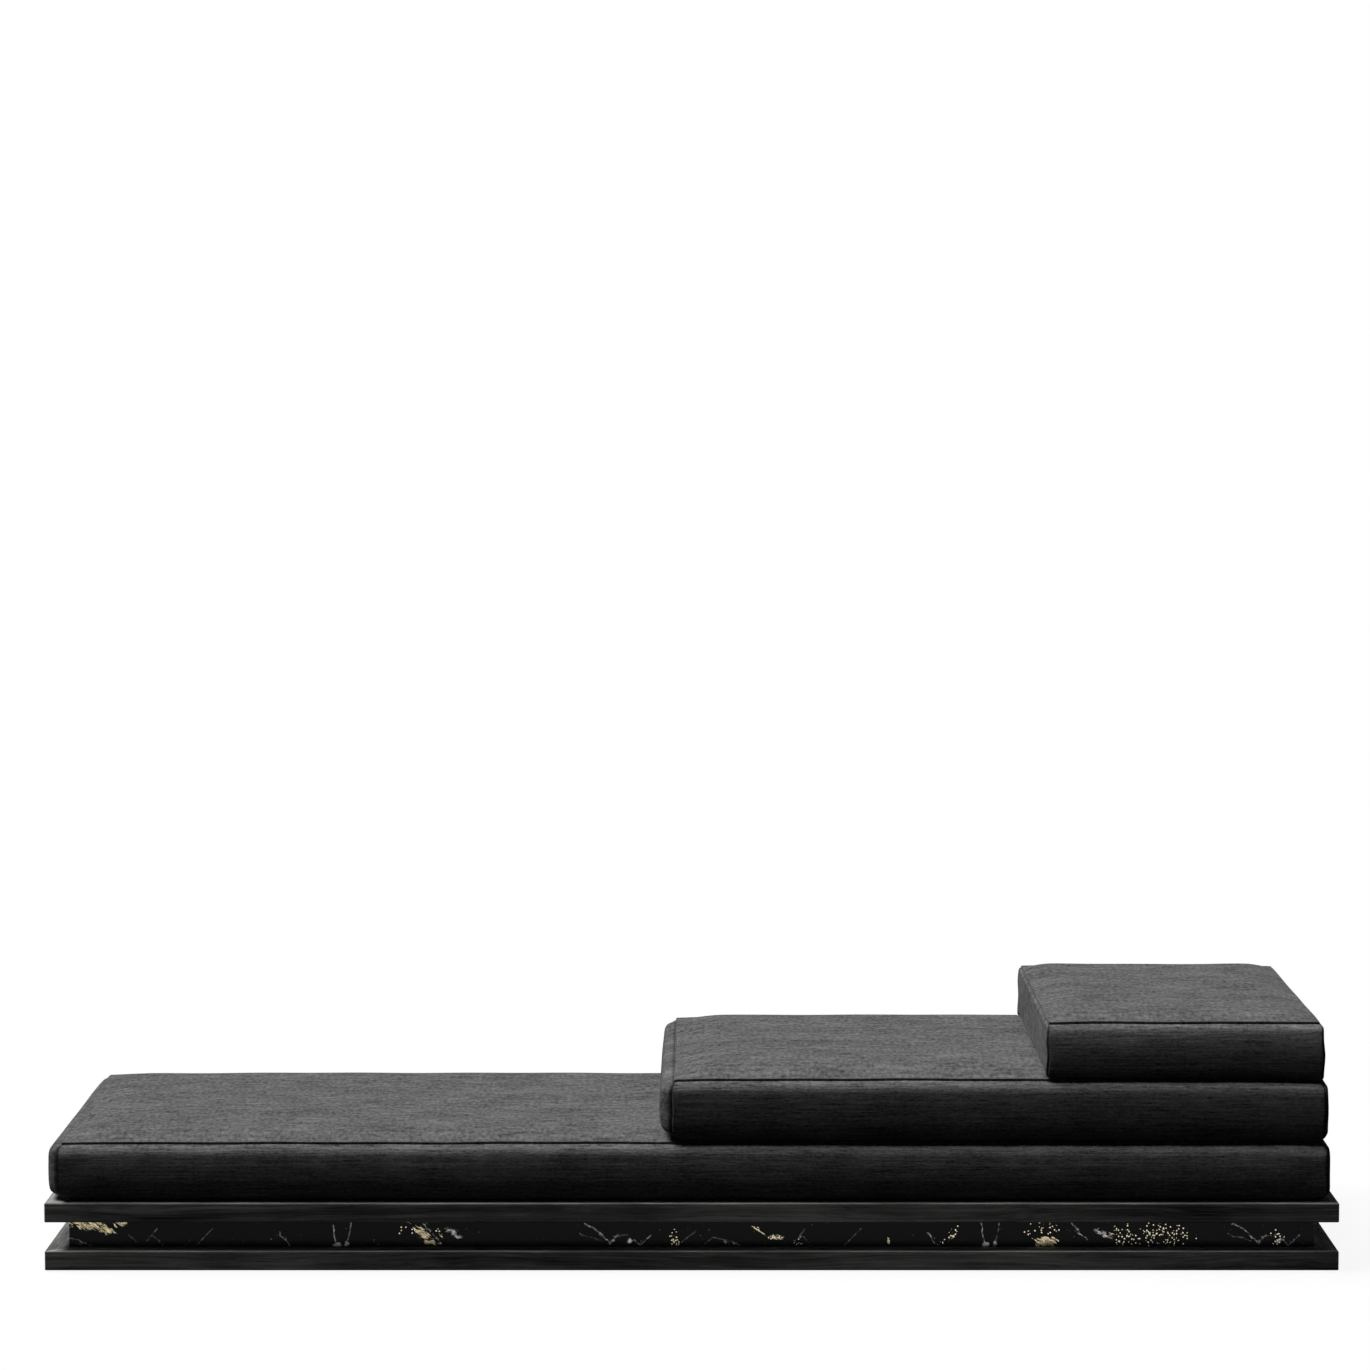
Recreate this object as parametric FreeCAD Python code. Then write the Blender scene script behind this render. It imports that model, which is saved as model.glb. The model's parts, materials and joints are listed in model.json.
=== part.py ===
"""Low chaise longue: two stained timber decks, a recessed marble band and three stacked box cushions.

Millimetres. +X runs along the seat towards the raised end, -Y is the front, +Z is up.
The origin is on the floor, under the middle of the decks.
"""

import FreeCAD, Part
import math
import os

Vector = FreeCAD.Vector
X_AXIS = Vector(1, 0, 0)
Z_AXIS = Vector(0, 0, 1)
OVERCUT = 1.0

# Decks: each is a mitred timber frame with a board let into its top
DECK_LENGTH = 2400.0
DECK_DEPTH = 800.0
DECK_THICKNESS = 36.0
RAIL_WIDTH = 120.0
RAIL_ARRIS = 1.5
BOARD_THICKNESS = 18.0
BOARD_LEDGE = 14.0
BOARD_CLEARANCE = 0.4
TENON_LENGTH = 70.0
TENON_WIDTH = 60.0
TENON_THICKNESS = 10.0
TENON_CLEARANCE = 0.1

# Marble band, set back from the deck edges and glued to the plinth beams
BAND_HEIGHT = 54.0
BAND_INSET = 40.0
MARBLE_THICKNESS = 20.0
MARBLE_ARRIS = 1.0
MARBLE_JOINT = 0.3
MARBLE_RELIEF = 0.5

# Plinth beams, which carry the upper deck behind the marble
BEAM_WIDTH = 45.0
CROSS_BEAM_COUNT = 3
CROSS_BEAM_CLEARANCE = 1.0
DOWEL_DIAMETER = 10.0
DOWEL_LENGTH = 60.0
DOWEL_SPACING = 26.0
DOWEL_CLEARANCE = 0.05

# Tie bolts, from under the lower deck up into inserts in the upper deck
BOLT_DIAMETER = 8.0
BOLT_HEAD_DIAMETER = 13.0
BOLT_HEAD_HEIGHT = 8.0
BOLT_SOCKET_FLATS = 6.0
BOLT_SOCKET_DEPTH = 4.0
BOLT_HOLE_CLEARANCE = 0.5
COUNTERBORE_DIAMETER = 22.0
COUNTERBORE_DEPTH = 14.0
WASHER_DIAMETER = 18.0
WASHER_THICKNESS = 1.6
INSERT_DIAMETER = 14.0
INSERT_LENGTH = 22.0
INSERT_THREAD_CLEARANCE = 0.05
INSERT_FIT = 0.05
BOLT_END_GAP = 2.0

# Countersunk screws that hold the boards down
SCREW_DIAMETER = 4.0
SCREW_HEAD_DIAMETER = 8.0
SCREW_HEAD_HEIGHT = 3.0
SCREW_LENGTH = 30.0
SCREW_CLEARANCE = 0.1
LEDGE_SCREW_COUNT = 6
LEDGE_SCREW_END = 160.0
CROSS_BEAM_SCREW_SPACING = 280.0

# Floor glides, let into the underside of the lower deck
GLIDE_DIAMETER = 40.0
GLIDE_PROUD = 3.0
GLIDE_RECESS = 5.0
GLIDE_CLEARANCE = 0.2
GLIDE_ARRIS = 1.0
GLIDE_COUNT = 5
GLIDE_END = 150.0

# Box cushions: sizes are at the seams, and the sides swell beyond them by the bulge
LONG_END_MARGIN = 18.0
LONG_SIDE_MARGIN = 16.0
LONG_SHIFT = -4.0
LONG_SEAM_HEIGHT = 112.0
LONG_CROWN = 6.0
LONG_BULGE = 10.0
LONG_CORNER = 16.0

MIDDLE_LENGTH = 1216.0
MIDDLE_SIDE_MARGIN = 18.0
MIDDLE_SETBACK = 8.0
MIDDLE_SEAM_HEIGHT = 110.0
MIDDLE_CROWN = 6.0
MIDDLE_BULGE = 12.0
MIDDLE_CORNER = 16.0

SHORT_LENGTH = 508.0
SHORT_SIDE_MARGIN = 15.0
SHORT_SETBACK = 9.0
SHORT_SEAM_HEIGHT = 100.0
SHORT_CROWN = 5.0
SHORT_BULGE = 4.0
SHORT_CORNER = 14.0

REST_GAP = 0.3
DRAW_IN = 2.5
BOTTOM_SEAM_HEIGHT = 4.0
BOTTOM_TUCK = 8.0
CROWN_REACH = 170.0
CROWN_STEPS = 4
BULGE_SHOULDER = 0.72
PIPING_DIAMETER = 3.0
PIPING_CLEARANCE = 0.2
PIPING_SPANS = 8
GROOVE_DEPTH = 3.6
GROOVE_HALF_HEIGHT = 2.4
BORDER_RIM = 4.0
FOAM_CLEARANCE = 0.3
MIN_CORNER = 3.0

# Zip along the back of each cushion, with its slider and pull tab
ZIP_END_MARGIN = 90.0
ZIP_TAPE_HEIGHT = 24.0
ZIP_TAPE_THICKNESS = 2.0
ZIP_RECESS = 3.0
ZIP_FIT = 0.2
COIL_HEIGHT = 6.0
COIL_PROUD = 2.2
SLIDER_LENGTH = 12.0
SLIDER_HEIGHT = 12.0
SLIDER_DEPTH = 4.7
SLIDER_CLEARANCE = 0.3
SLIDER_START = 8.0
LUG_THICKNESS = 1.5
LUG_HEIGHT = 4.4
LUG_GAP = 5.2
PULL_PIN_DIAMETER = 1.6
PULL_PIN_CLEARANCE = 0.05
PULL_EYE_DIAMETER = 4.0
PULL_SIDE_CLEARANCE = 0.2
PULL_WIDTH = 8.0
PULL_LENGTH = 28.0
PULL_THICKNESS = 1.4

# Heights and places that follow from the sizes above
LOWER_DECK_Z = GLIDE_PROUD
BAND_Z = LOWER_DECK_Z + DECK_THICKNESS
UPPER_DECK_Z = BAND_Z + BAND_HEIGHT
SEAT_Z = UPPER_DECK_Z + DECK_THICKNESS
BAND_HALF_LENGTH = DECK_LENGTH / 2 - BAND_INSET
BAND_HALF_DEPTH = DECK_DEPTH / 2 - BAND_INSET
PLINTH_HALF_LENGTH = BAND_HALF_LENGTH - MARBLE_THICKNESS
PLINTH_HALF_DEPTH = BAND_HALF_DEPTH - MARBLE_THICKNESS
BEAM_LINE_X = PLINTH_HALF_LENGTH - BEAM_WIDTH / 2
BEAM_LINE_Y = PLINTH_HALF_DEPTH - BEAM_WIDTH / 2
BEAM_INNER_Y = PLINTH_HALF_DEPTH - BEAM_WIDTH
RAIL_LINE_Y = DECK_DEPTH / 2 - RAIL_WIDTH / 2
RAIL_INNER_X = DECK_LENGTH / 2 - RAIL_WIDTH
RAIL_INNER_Y = DECK_DEPTH / 2 - RAIL_WIDTH
LEDGE_LINE_X = RAIL_INNER_X + BOARD_LEDGE / 2
LEDGE_LINE_Y = RAIL_INNER_Y + BOARD_LEDGE / 2
LONG_LENGTH = DECK_LENGTH - 2 * LONG_END_MARGIN
LONG_RIGHT_END = LONG_SHIFT + LONG_LENGTH / 2
SIDES = ("front", "right", "rear", "left")


# Plain shapes

def box(x_low, x_high, y_low, y_high, z_low, z_high):
    """Block between two corners."""
    size = (x_high - x_low, y_high - y_low, z_high - z_low)
    return Part.makeBox(*size, Vector(x_low, y_low, z_low))


def upright(x, y, z_low, z_high, diameter):
    """Round bar standing along Z."""
    return Part.makeCylinder(diameter / 2, z_high - z_low, Vector(x, y, z_low))


def prism(points, direction):
    """Straight solid over a flat polygon."""
    return Part.Face(Part.makePolygon([*points, points[0]])).extrude(direction)


def turned_to(side, shape):
    """Copy of a front piece turned about the centre to another side."""
    copy = shape.copy()
    copy.rotate(Vector(), Z_AXIS, 90 * SIDES.index(side))
    return copy


def drilled(shape, tools):
    """Shape with every tool cut out of it."""
    return shape.cut(Part.makeCompound(tools))


def spread(first, last, count):
    """Evenly spaced places from first to last."""
    return [first + (last - first) * i / (count - 1) for i in range(count)]


def mitred_bar(length, reach, width, arris, profile):
    """Bar along X with its outer face at y = -reach and a 45 degree mitre at each end.

    The profile is a list of (distance in from the outer face, height).
    """
    half = length / 2
    section = [Vector(-half, -reach + inward, z) for inward, z in profile]
    bar = prism(section, Vector(length, 0, 0))
    plan = [
        (half - arris, -reach),
        (half - arris / 2, -reach + arris / 2),
        (half - width, -reach + width),
        (-half + width, -reach + width),
        (-half + arris / 2, -reach + arris / 2),
        (-half + arris, -reach),
    ]
    z_low = min(z for _, z in profile)
    z_high = max(z for _, z in profile)
    mitre = prism([Vector(x, y, z_low) for x, y in plan], Vector(0, 0, z_high - z_low))
    return bar.common(mitre)


# Places that repeat

def beam_joint_places():
    """X of the end beams and the cross beams."""
    return spread(-BEAM_LINE_X, BEAM_LINE_X, CROSS_BEAM_COUNT + 2)


def cross_beam_places():
    """X of the cross beams alone."""
    return beam_joint_places()[1:-1]


def tie_bolt_places():
    """(x, y) of each tie bolt, midway between neighbouring beam joints."""
    joints = beam_joint_places()
    middles = [(a + b) / 2 for a, b in zip(joints, joints[1:])]
    return [(x, y) for y in (-BEAM_LINE_Y, BEAM_LINE_Y) for x in middles]


def glide_places():
    """(x, y) of each floor glide."""
    end = DECK_LENGTH / 2 - GLIDE_END
    return [(x, y) for y in (-RAIL_LINE_Y, RAIL_LINE_Y) for x in spread(-end, end, GLIDE_COUNT)]


def ledge_screw_places():
    """(x, y) of each screw that holds a board to its ledges."""
    end = DECK_LENGTH / 2 - LEDGE_SCREW_END
    places = [(x, y) for y in (-LEDGE_LINE_Y, LEDGE_LINE_Y) for x in spread(-end, end, LEDGE_SCREW_COUNT)]
    return places + [(-LEDGE_LINE_X, 0.0), (LEDGE_LINE_X, 0.0)]


def cross_beam_screw_places():
    """(x, y) of each screw that holds the upper board to a cross beam."""
    half = CROSS_BEAM_SCREW_SPACING / 2
    return [(x, y) for x in cross_beam_places() for y in (-half, half)]


# Fasteners

def screw(x, y, top, clearance=0.0):
    """Countersunk screw with its head flush at the height top, or the hole for it."""
    tip = top - SCREW_LENGTH - clearance
    shank = upright(x, y, tip, top - SCREW_HEAD_HEIGHT, SCREW_DIAMETER + 2 * clearance)
    head = Part.makeCone(
        SCREW_DIAMETER / 2 + clearance,
        SCREW_HEAD_DIAMETER / 2 + clearance,
        SCREW_HEAD_HEIGHT,
        Vector(x, y, top - SCREW_HEAD_HEIGHT),
    )
    return shank.fuse(head).removeSplitter()


def washer_top():
    """Height of the counterbore's floor, where the washer bears."""
    return LOWER_DECK_Z + COUNTERBORE_DEPTH


def tie_bolt(x, y):
    """Socket-head bolt that ties both decks and the plinth together."""
    head_top = washer_top() - WASHER_THICKNESS
    head_bottom = head_top - BOLT_HEAD_HEIGHT
    shank = upright(x, y, head_top, UPPER_DECK_Z + INSERT_LENGTH - BOLT_END_GAP, BOLT_DIAMETER)
    head = upright(x, y, head_bottom, head_top, BOLT_HEAD_DIAMETER)
    corner = BOLT_SOCKET_FLATS / math.sqrt(3)
    angles = [math.radians(60 * i) for i in range(6)]
    hexagon = [Vector(x + corner * math.cos(a), y + corner * math.sin(a), head_bottom) for a in angles]
    return shank.fuse(head).removeSplitter().cut(prism(hexagon, Vector(0, 0, BOLT_SOCKET_DEPTH)))


def tie_washer(x, y):
    """Flat washer under a tie bolt's head."""
    low = washer_top() - WASHER_THICKNESS
    hole = upright(x, y, low, washer_top(), BOLT_DIAMETER + 2 * BOLT_HOLE_CLEARANCE)
    return upright(x, y, low, washer_top(), WASHER_DIAMETER).cut(hole)


def tie_insert(x, y):
    """Threaded insert in the underside of the upper deck."""
    top = UPPER_DECK_Z + INSERT_LENGTH
    thread = upright(x, y, UPPER_DECK_Z, top, BOLT_DIAMETER + 2 * INSERT_THREAD_CLEARANCE)
    return upright(x, y, UPPER_DECK_Z, top, INSERT_DIAMETER).cut(thread)


def bolt_hole(x, y, z_low, z_high):
    """Clearance hole for a tie bolt."""
    return upright(x, y, z_low, z_high, BOLT_DIAMETER + 2 * BOLT_HOLE_CLEARANCE)


def dowel(x, y, z, clearance=0.0):
    """Dowel along Y, centred on a beam joint, or the hole for it."""
    length = DOWEL_LENGTH + 2 * clearance
    start = Vector(x, y - length / 2, z)
    return Part.makeCylinder(DOWEL_DIAMETER / 2 + clearance, length, start, Vector(0, 1, 0))


def beam_dowels(clearance=0.0):
    """Two dowels at each end of every end beam and cross beam, or their holes."""
    middle = BAND_Z + BAND_HEIGHT / 2
    heights = (middle - DOWEL_SPACING / 2, middle + DOWEL_SPACING / 2)
    sides = (-BEAM_INNER_Y, BEAM_INNER_Y)
    return [dowel(x, y, z, clearance) for x in beam_joint_places() for y in sides for z in heights]


def glide(x, y):
    """Round glide that stands on the floor."""
    body = upright(x, y, 0, GLIDE_PROUD + GLIDE_RECESS, GLIDE_DIAMETER)
    rim = [edge for edge in body.Edges if edge.BoundBox.ZMax < GLIDE_PROUD / 2]
    return body.makeChamfer(GLIDE_ARRIS, rim)


# Decks

def corner_tenon(sign_x, sign_y, deck_z, clearance=0.0):
    """Loose tenon square across the mitre of one deck corner, or its mortise."""
    length = TENON_LENGTH + 2 * clearance
    width = TENON_WIDTH + 2 * clearance
    thickness = TENON_THICKNESS + 2 * clearance
    tenon = box(-length / 2, length / 2, -width / 2, width / 2, -thickness / 2, thickness / 2)
    tenon.rotate(Vector(), Z_AXIS, -45 * sign_x * sign_y)
    centre_x = sign_x * (DECK_LENGTH / 2 - RAIL_WIDTH / 2)
    tenon.translate(Vector(centre_x, sign_y * RAIL_LINE_Y, deck_z + DECK_THICKNESS / 2))
    return tenon


def corner_tenons(deck_z, clearance=0.0):
    """The four loose tenons of one deck, or their mortises."""
    return [corner_tenon(sx, sy, deck_z, clearance) for sx in (-1, 1) for sy in (-1, 1)]


def rail_profile(deck_z):
    """Section of a deck rail: eased outer edges and a ledge for the board."""
    top = deck_z + DECK_THICKNESS
    ledge = top - BOARD_THICKNESS
    return [
        (RAIL_ARRIS, deck_z),
        (RAIL_WIDTH, deck_z),
        (RAIL_WIDTH, ledge),
        (RAIL_WIDTH - BOARD_LEDGE, ledge),
        (RAIL_WIDTH - BOARD_LEDGE, top),
        (RAIL_ARRIS, top),
        (0, top - RAIL_ARRIS),
        (0, deck_z + RAIL_ARRIS),
    ]


def deck_rail(side, deck_z, holes):
    """One mitred rail of a deck, with its holes and mortises."""
    along_x = side in ("front", "rear")
    length, reach = (DECK_LENGTH, DECK_DEPTH / 2) if along_x else (DECK_DEPTH, DECK_LENGTH / 2)
    rail = mitred_bar(length, reach, RAIL_WIDTH, RAIL_ARRIS, rail_profile(deck_z))
    return drilled(turned_to(side, rail), holes)


def deck_board(deck_z, holes):
    """Board that fills a deck's frame, flush with the top of the rails."""
    half_x = RAIL_INNER_X + BOARD_LEDGE - BOARD_CLEARANCE
    half_y = RAIL_INNER_Y + BOARD_LEDGE - BOARD_CLEARANCE
    top = deck_z + DECK_THICKNESS
    return drilled(box(-half_x, half_x, -half_y, half_y, top - BOARD_THICKNESS, top), holes)


def lower_deck_holes():
    """Counterbores, bolt holes, glide recesses, screw holes and mortises of the lower deck."""
    floor = LOWER_DECK_Z - OVERCUT
    recess = LOWER_DECK_Z + GLIDE_RECESS
    holes = [upright(x, y, floor, washer_top(), COUNTERBORE_DIAMETER) for x, y in tie_bolt_places()]
    holes += [bolt_hole(x, y, floor, BAND_Z + OVERCUT) for x, y in tie_bolt_places()]
    holes += [upright(x, y, floor, recess, GLIDE_DIAMETER + 2 * GLIDE_CLEARANCE) for x, y in glide_places()]
    holes += [screw(x, y, BAND_Z, SCREW_CLEARANCE) for x, y in ledge_screw_places()]
    return holes + corner_tenons(LOWER_DECK_Z, TENON_CLEARANCE)


def upper_deck_holes():
    """Insert holes, screw holes and mortises of the upper deck."""
    top = UPPER_DECK_Z + INSERT_LENGTH
    diameter = INSERT_DIAMETER + 2 * INSERT_FIT
    holes = [upright(x, y, UPPER_DECK_Z - OVERCUT, top, diameter) for x, y in tie_bolt_places()]
    screw_places = ledge_screw_places() + cross_beam_screw_places()
    holes += [screw(x, y, SEAT_Z, SCREW_CLEARANCE) for x, y in screw_places]
    return holes + corner_tenons(UPPER_DECK_Z, TENON_CLEARANCE)


def make_decks():
    """Rails, boards, loose tenons and screws of both decks."""
    nodes = {}
    for deck, deck_z, holes in (
        ("lower", LOWER_DECK_Z, lower_deck_holes()),
        ("upper", UPPER_DECK_Z, upper_deck_holes()),
    ):
        for side in SIDES:
            nodes[f"{deck}_{side}_rail"] = deck_rail(side, deck_z, holes)
        nodes[f"{deck}_board"] = deck_board(deck_z, holes)
    tenons = corner_tenons(LOWER_DECK_Z) + corner_tenons(UPPER_DECK_Z)
    screws = [screw(x, y, BAND_Z) for x, y in ledge_screw_places()]
    screws += [screw(x, y, SEAT_Z) for x, y in ledge_screw_places() + cross_beam_screw_places()]
    nodes["corner_tenons"] = Part.makeCompound(tenons)
    nodes["board_screws"] = Part.makeCompound(screws)
    nodes["floor_glides"] = Part.makeCompound([glide(x, y) for x, y in glide_places()])
    return nodes


# Plinth

def marble_strip(side):
    """One mitred side of the marble band."""
    along_x = side in ("front", "rear")
    half, reach = (BAND_HALF_LENGTH, BAND_HALF_DEPTH) if along_x else (BAND_HALF_DEPTH, BAND_HALF_LENGTH)
    low = BAND_Z + MARBLE_RELIEF
    high = UPPER_DECK_Z - MARBLE_RELIEF
    profile = [
        (MARBLE_ARRIS, low),
        (MARBLE_THICKNESS, low),
        (MARBLE_THICKNESS, high),
        (MARBLE_ARRIS, high),
        (0, high - MARBLE_ARRIS),
        (0, low + MARBLE_ARRIS),
    ]
    strip = mitred_bar(2 * half, reach, MARBLE_THICKNESS, MARBLE_ARRIS, profile)
    return turned_to(side, strip)


def make_marble():
    """Marble band: the long sides are two lengths each, butted at the middle."""
    nodes = {f"marble_{side}_end": marble_strip(side) for side in ("left", "right")}
    reach_x = BAND_HALF_LENGTH + OVERCUT
    reach_y = BAND_HALF_DEPTH + OVERCUT
    for side in ("front", "rear"):
        strip = marble_strip(side)
        left = box(-reach_x, -MARBLE_JOINT / 2, -reach_y, reach_y, BAND_Z, UPPER_DECK_Z)
        right = box(MARBLE_JOINT / 2, reach_x, -reach_y, reach_y, BAND_Z, UPPER_DECK_Z)
        nodes[f"marble_{side}_left"] = strip.common(left)
        nodes[f"marble_{side}_right"] = strip.common(right)
    return nodes


def cross_beam(x, holes):
    """Beam across the plinth, stepped up between the upper rails to carry the board."""
    half = BEAM_WIDTH / 2
    step_y = RAIL_INNER_Y - CROSS_BEAM_CLEARANCE
    board_z = SEAT_Z - BOARD_THICKNESS
    beam = box(x - half, x + half, -BEAM_INNER_Y, BEAM_INNER_Y, BAND_Z, UPPER_DECK_Z)
    step = box(x - half, x + half, -step_y, step_y, UPPER_DECK_Z, board_z)
    return drilled(beam.fuse(step).removeSplitter(), holes)


def make_plinth():
    """Beams behind the marble, their dowels and the bolts that tie the base together."""
    dowel_holes = beam_dowels(DOWEL_CLEARANCE)
    bolt_holes = [bolt_hole(x, y, BAND_Z - OVERCUT, UPPER_DECK_Z + OVERCUT) for x, y in tie_bolt_places()]
    screw_holes = [screw(x, y, SEAT_Z, SCREW_CLEARANCE) for x, y in cross_beam_screw_places()]
    long_x = PLINTH_HALF_LENGTH
    outer_y = PLINTH_HALF_DEPTH
    inner_y = BEAM_INNER_Y
    inner_x = PLINTH_HALF_LENGTH - BEAM_WIDTH
    blanks = {
        "front": (-long_x, long_x, -outer_y, -inner_y),
        "rear": (-long_x, long_x, inner_y, outer_y),
        "left": (-long_x, -inner_x, -inner_y, inner_y),
        "right": (inner_x, long_x, -inner_y, inner_y),
    }
    nodes = {}
    for side, corners in blanks.items():
        beam = box(*corners, BAND_Z, UPPER_DECK_Z)
        nodes[f"plinth_{side}_beam"] = drilled(beam, dowel_holes + bolt_holes)
    for number, x in enumerate(cross_beam_places(), start=1):
        nodes[f"plinth_cross_beam_{number}"] = cross_beam(x, dowel_holes + screw_holes)
    nodes["plinth_dowels"] = Part.makeCompound(beam_dowels())
    nodes["tie_bolts"] = Part.makeCompound([tie_bolt(x, y) for x, y in tie_bolt_places()])
    nodes["tie_washers"] = Part.makeCompound([tie_washer(x, y) for x, y in tie_bolt_places()])
    nodes["tie_inserts"] = Part.makeCompound([tie_insert(x, y) for x, y in tie_bolt_places()])
    return nodes


# Cushions

class Cushion:
    """Sizes of one box cushion, and the height that its underside rests at."""

    def __init__(self, name, length, depth, seam_height, crown, bulge, corner, centre_x, base_z):
        self.name = name
        self.length = length
        self.depth = depth
        self.seam_height = seam_height
        self.crown = crown
        self.bulge = bulge
        self.corner = corner
        self.centre_x = centre_x
        self.base_z = base_z

    def top(self):
        """Height of the crown."""
        return self.base_z + self.seam_height + self.crown

    def back_face(self):
        """Y of the back at the middle of its length and height, where it is swollen and drawn in."""
        return self.depth / 2 + self.bulge - DRAW_IN

    def zip_z(self):
        """Height of the zip, halfway up the border."""
        return self.base_z + (BOTTOM_SEAM_HEIGHT + self.seam_height) / 2

    def zip_half_length(self):
        """Half the length of the zip."""
        return self.length / 2 - ZIP_END_MARGIN

    def zip_face(self):
        """Y of the zip tape's outer face."""
        return self.back_face() - ZIP_RECESS


def make_cushion_list():
    """The three cushions, each resting on the crown of the one below, near the raised end."""
    long = Cushion(
        "long", LONG_LENGTH, DECK_DEPTH - 2 * LONG_SIDE_MARGIN, LONG_SEAM_HEIGHT, LONG_CROWN,
        LONG_BULGE, LONG_CORNER, LONG_SHIFT, SEAT_Z + REST_GAP,
    )
    middle_x = LONG_RIGHT_END - MIDDLE_SETBACK - MIDDLE_LENGTH / 2
    middle = Cushion(
        "middle", MIDDLE_LENGTH, DECK_DEPTH - 2 * MIDDLE_SIDE_MARGIN, MIDDLE_SEAM_HEIGHT, MIDDLE_CROWN,
        MIDDLE_BULGE, MIDDLE_CORNER, middle_x, long.top() + REST_GAP,
    )
    short_x = LONG_RIGHT_END - SHORT_SETBACK - SHORT_LENGTH / 2
    short = Cushion(
        "short", SHORT_LENGTH, DECK_DEPTH - 2 * SHORT_SIDE_MARGIN, SHORT_SEAM_HEIGHT, SHORT_CROWN,
        SHORT_BULGE, SHORT_CORNER, short_x, middle.top() + REST_GAP,
    )
    return [long, middle, short]


def side_lean(reach, corner):
    """Angle at which a drawn-in side runs into its corner."""
    lean = 0.0
    for _ in range(8):
        lean = 2 * math.atan(DRAW_IN / (reach - corner * math.sin(lean)))
    return lean


def outline(cushion, inset, height):
    """Outline of a cushion at one height: four drawn-in sides that run smoothly into round corners."""
    corner = max(cushion.corner - inset, MIN_CORNER)
    z = cushion.base_z + height
    centre = Vector(cushion.length / 2 - inset - corner, cushion.depth / 2 - inset - corner, 0)
    lean_long = side_lean(centre.x, corner)
    lean_short = side_lean(centre.y, corner)
    side_end = (centre.x - corner * math.sin(lean_long), centre.y + corner * math.cos(lean_long))
    end_end = (centre.x + corner * math.cos(lean_short), centre.y - corner * math.sin(lean_short))
    middle_turn = (math.pi / 2 + lean_long - lean_short) / 2
    bend = (centre.x + corner * math.cos(middle_turn), centre.y + corner * math.sin(middle_turn))

    def place(point, sign_x, sign_y):
        return Vector(cushion.centre_x + sign_x * point[0], sign_y * point[1], z)

    side_middle = (0, side_end[1] - DRAW_IN)
    end_middle = (end_end[0] - DRAW_IN, 0)
    arcs = [
        (place(side_end, -1, -1), place(side_middle, 1, -1), place(side_end, 1, -1)),
        (place(side_end, 1, -1), place(bend, 1, -1), place(end_end, 1, -1)),
        (place(end_end, 1, -1), place(end_middle, 1, 1), place(end_end, 1, 1)),
        (place(end_end, 1, 1), place(bend, 1, 1), place(side_end, 1, 1)),
        (place(side_end, 1, 1), place(side_middle, 1, 1), place(side_end, -1, 1)),
        (place(side_end, -1, 1), place(bend, -1, 1), place(end_end, -1, 1)),
        (place(end_end, -1, 1), place(end_middle, -1, 1), place(end_end, -1, -1)),
        (place(end_end, -1, -1), place(bend, -1, -1), place(side_end, -1, -1)),
    ]
    return Part.Wire([Part.Arc(*points).toShape() for points in arcs])


def lofted(cushion, sections):
    """Solid through outlines, each given as (inset, height)."""
    return Part.makeLoft([outline(cushion, inset, height) for inset, height in sections], True, True)


def bottom_panel(cushion):
    """Underside of the cover, flat where it rests."""
    return lofted(cushion, [
        (BOTTOM_TUCK, 0),
        (0, BOTTOM_SEAM_HEIGHT - GROOVE_HALF_HEIGHT),
        (GROOVE_DEPTH, BOTTOM_SEAM_HEIGHT),
    ])


def top_panel(cushion):
    """Top of the cover, which rises from the seam to the crown."""
    rim = cushion.seam_height + GROOVE_HALF_HEIGHT
    rise = cushion.crown - GROOVE_HALF_HEIGHT
    sections = [(GROOVE_DEPTH, cushion.seam_height), (0, rim)]
    for step in range(1, CROWN_STEPS + 1):
        share = step / CROWN_STEPS
        sections.append((CROWN_REACH * share, rim + rise * (1 - (1 - share) ** 2)))
    return lofted(cushion, sections)


def border_ring(cushion):
    """All four sides of the cover, swollen between the seams."""
    low = BOTTOM_SEAM_HEIGHT + GROOVE_HALF_HEIGHT
    high = cushion.seam_height - GROOVE_HALF_HEIGHT
    middle = (low + high) / 2
    half = (high - low) / 2
    flat = ZIP_TAPE_HEIGHT / 2 / half
    sections = [(GROOVE_DEPTH, BOTTOM_SEAM_HEIGHT), (0, low)]
    for share in (-BULGE_SHOULDER, -flat, flat, BULGE_SHOULDER):
        sections.append((-cushion.bulge * (1 - share ** 4), middle + share * half))
    sections += [(0, high), (GROOVE_DEPTH, cushion.seam_height)]
    inside = lofted(cushion, [
        (GROOVE_DEPTH + BORDER_RIM, BOTTOM_SEAM_HEIGHT - OVERCUT),
        (GROOVE_DEPTH + BORDER_RIM, cushion.seam_height + OVERCUT),
    ])
    return lofted(cushion, sections).cut(inside)


def side_wedge(cushion, sign_y):
    """Space of the front or back side, bounded by upright corner seams at 45 degrees."""
    half_x = cushion.length / 2 + cushion.bulge + OVERCUT
    half_y = cushion.depth / 2 + cushion.bulge + OVERCUT
    inward = min(half_x, half_y) / 2
    low = cushion.base_z - OVERCUT
    plan = [
        (-half_x, half_y),
        (half_x, half_y),
        (half_x - inward, half_y - inward),
        (inward - half_x, half_y - inward),
    ]
    points = [Vector(cushion.centre_x + x, sign_y * y, low) for x, y in plan]
    return prism(points, Vector(0, 0, cushion.seam_height + 2 * OVERCUT))


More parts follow.
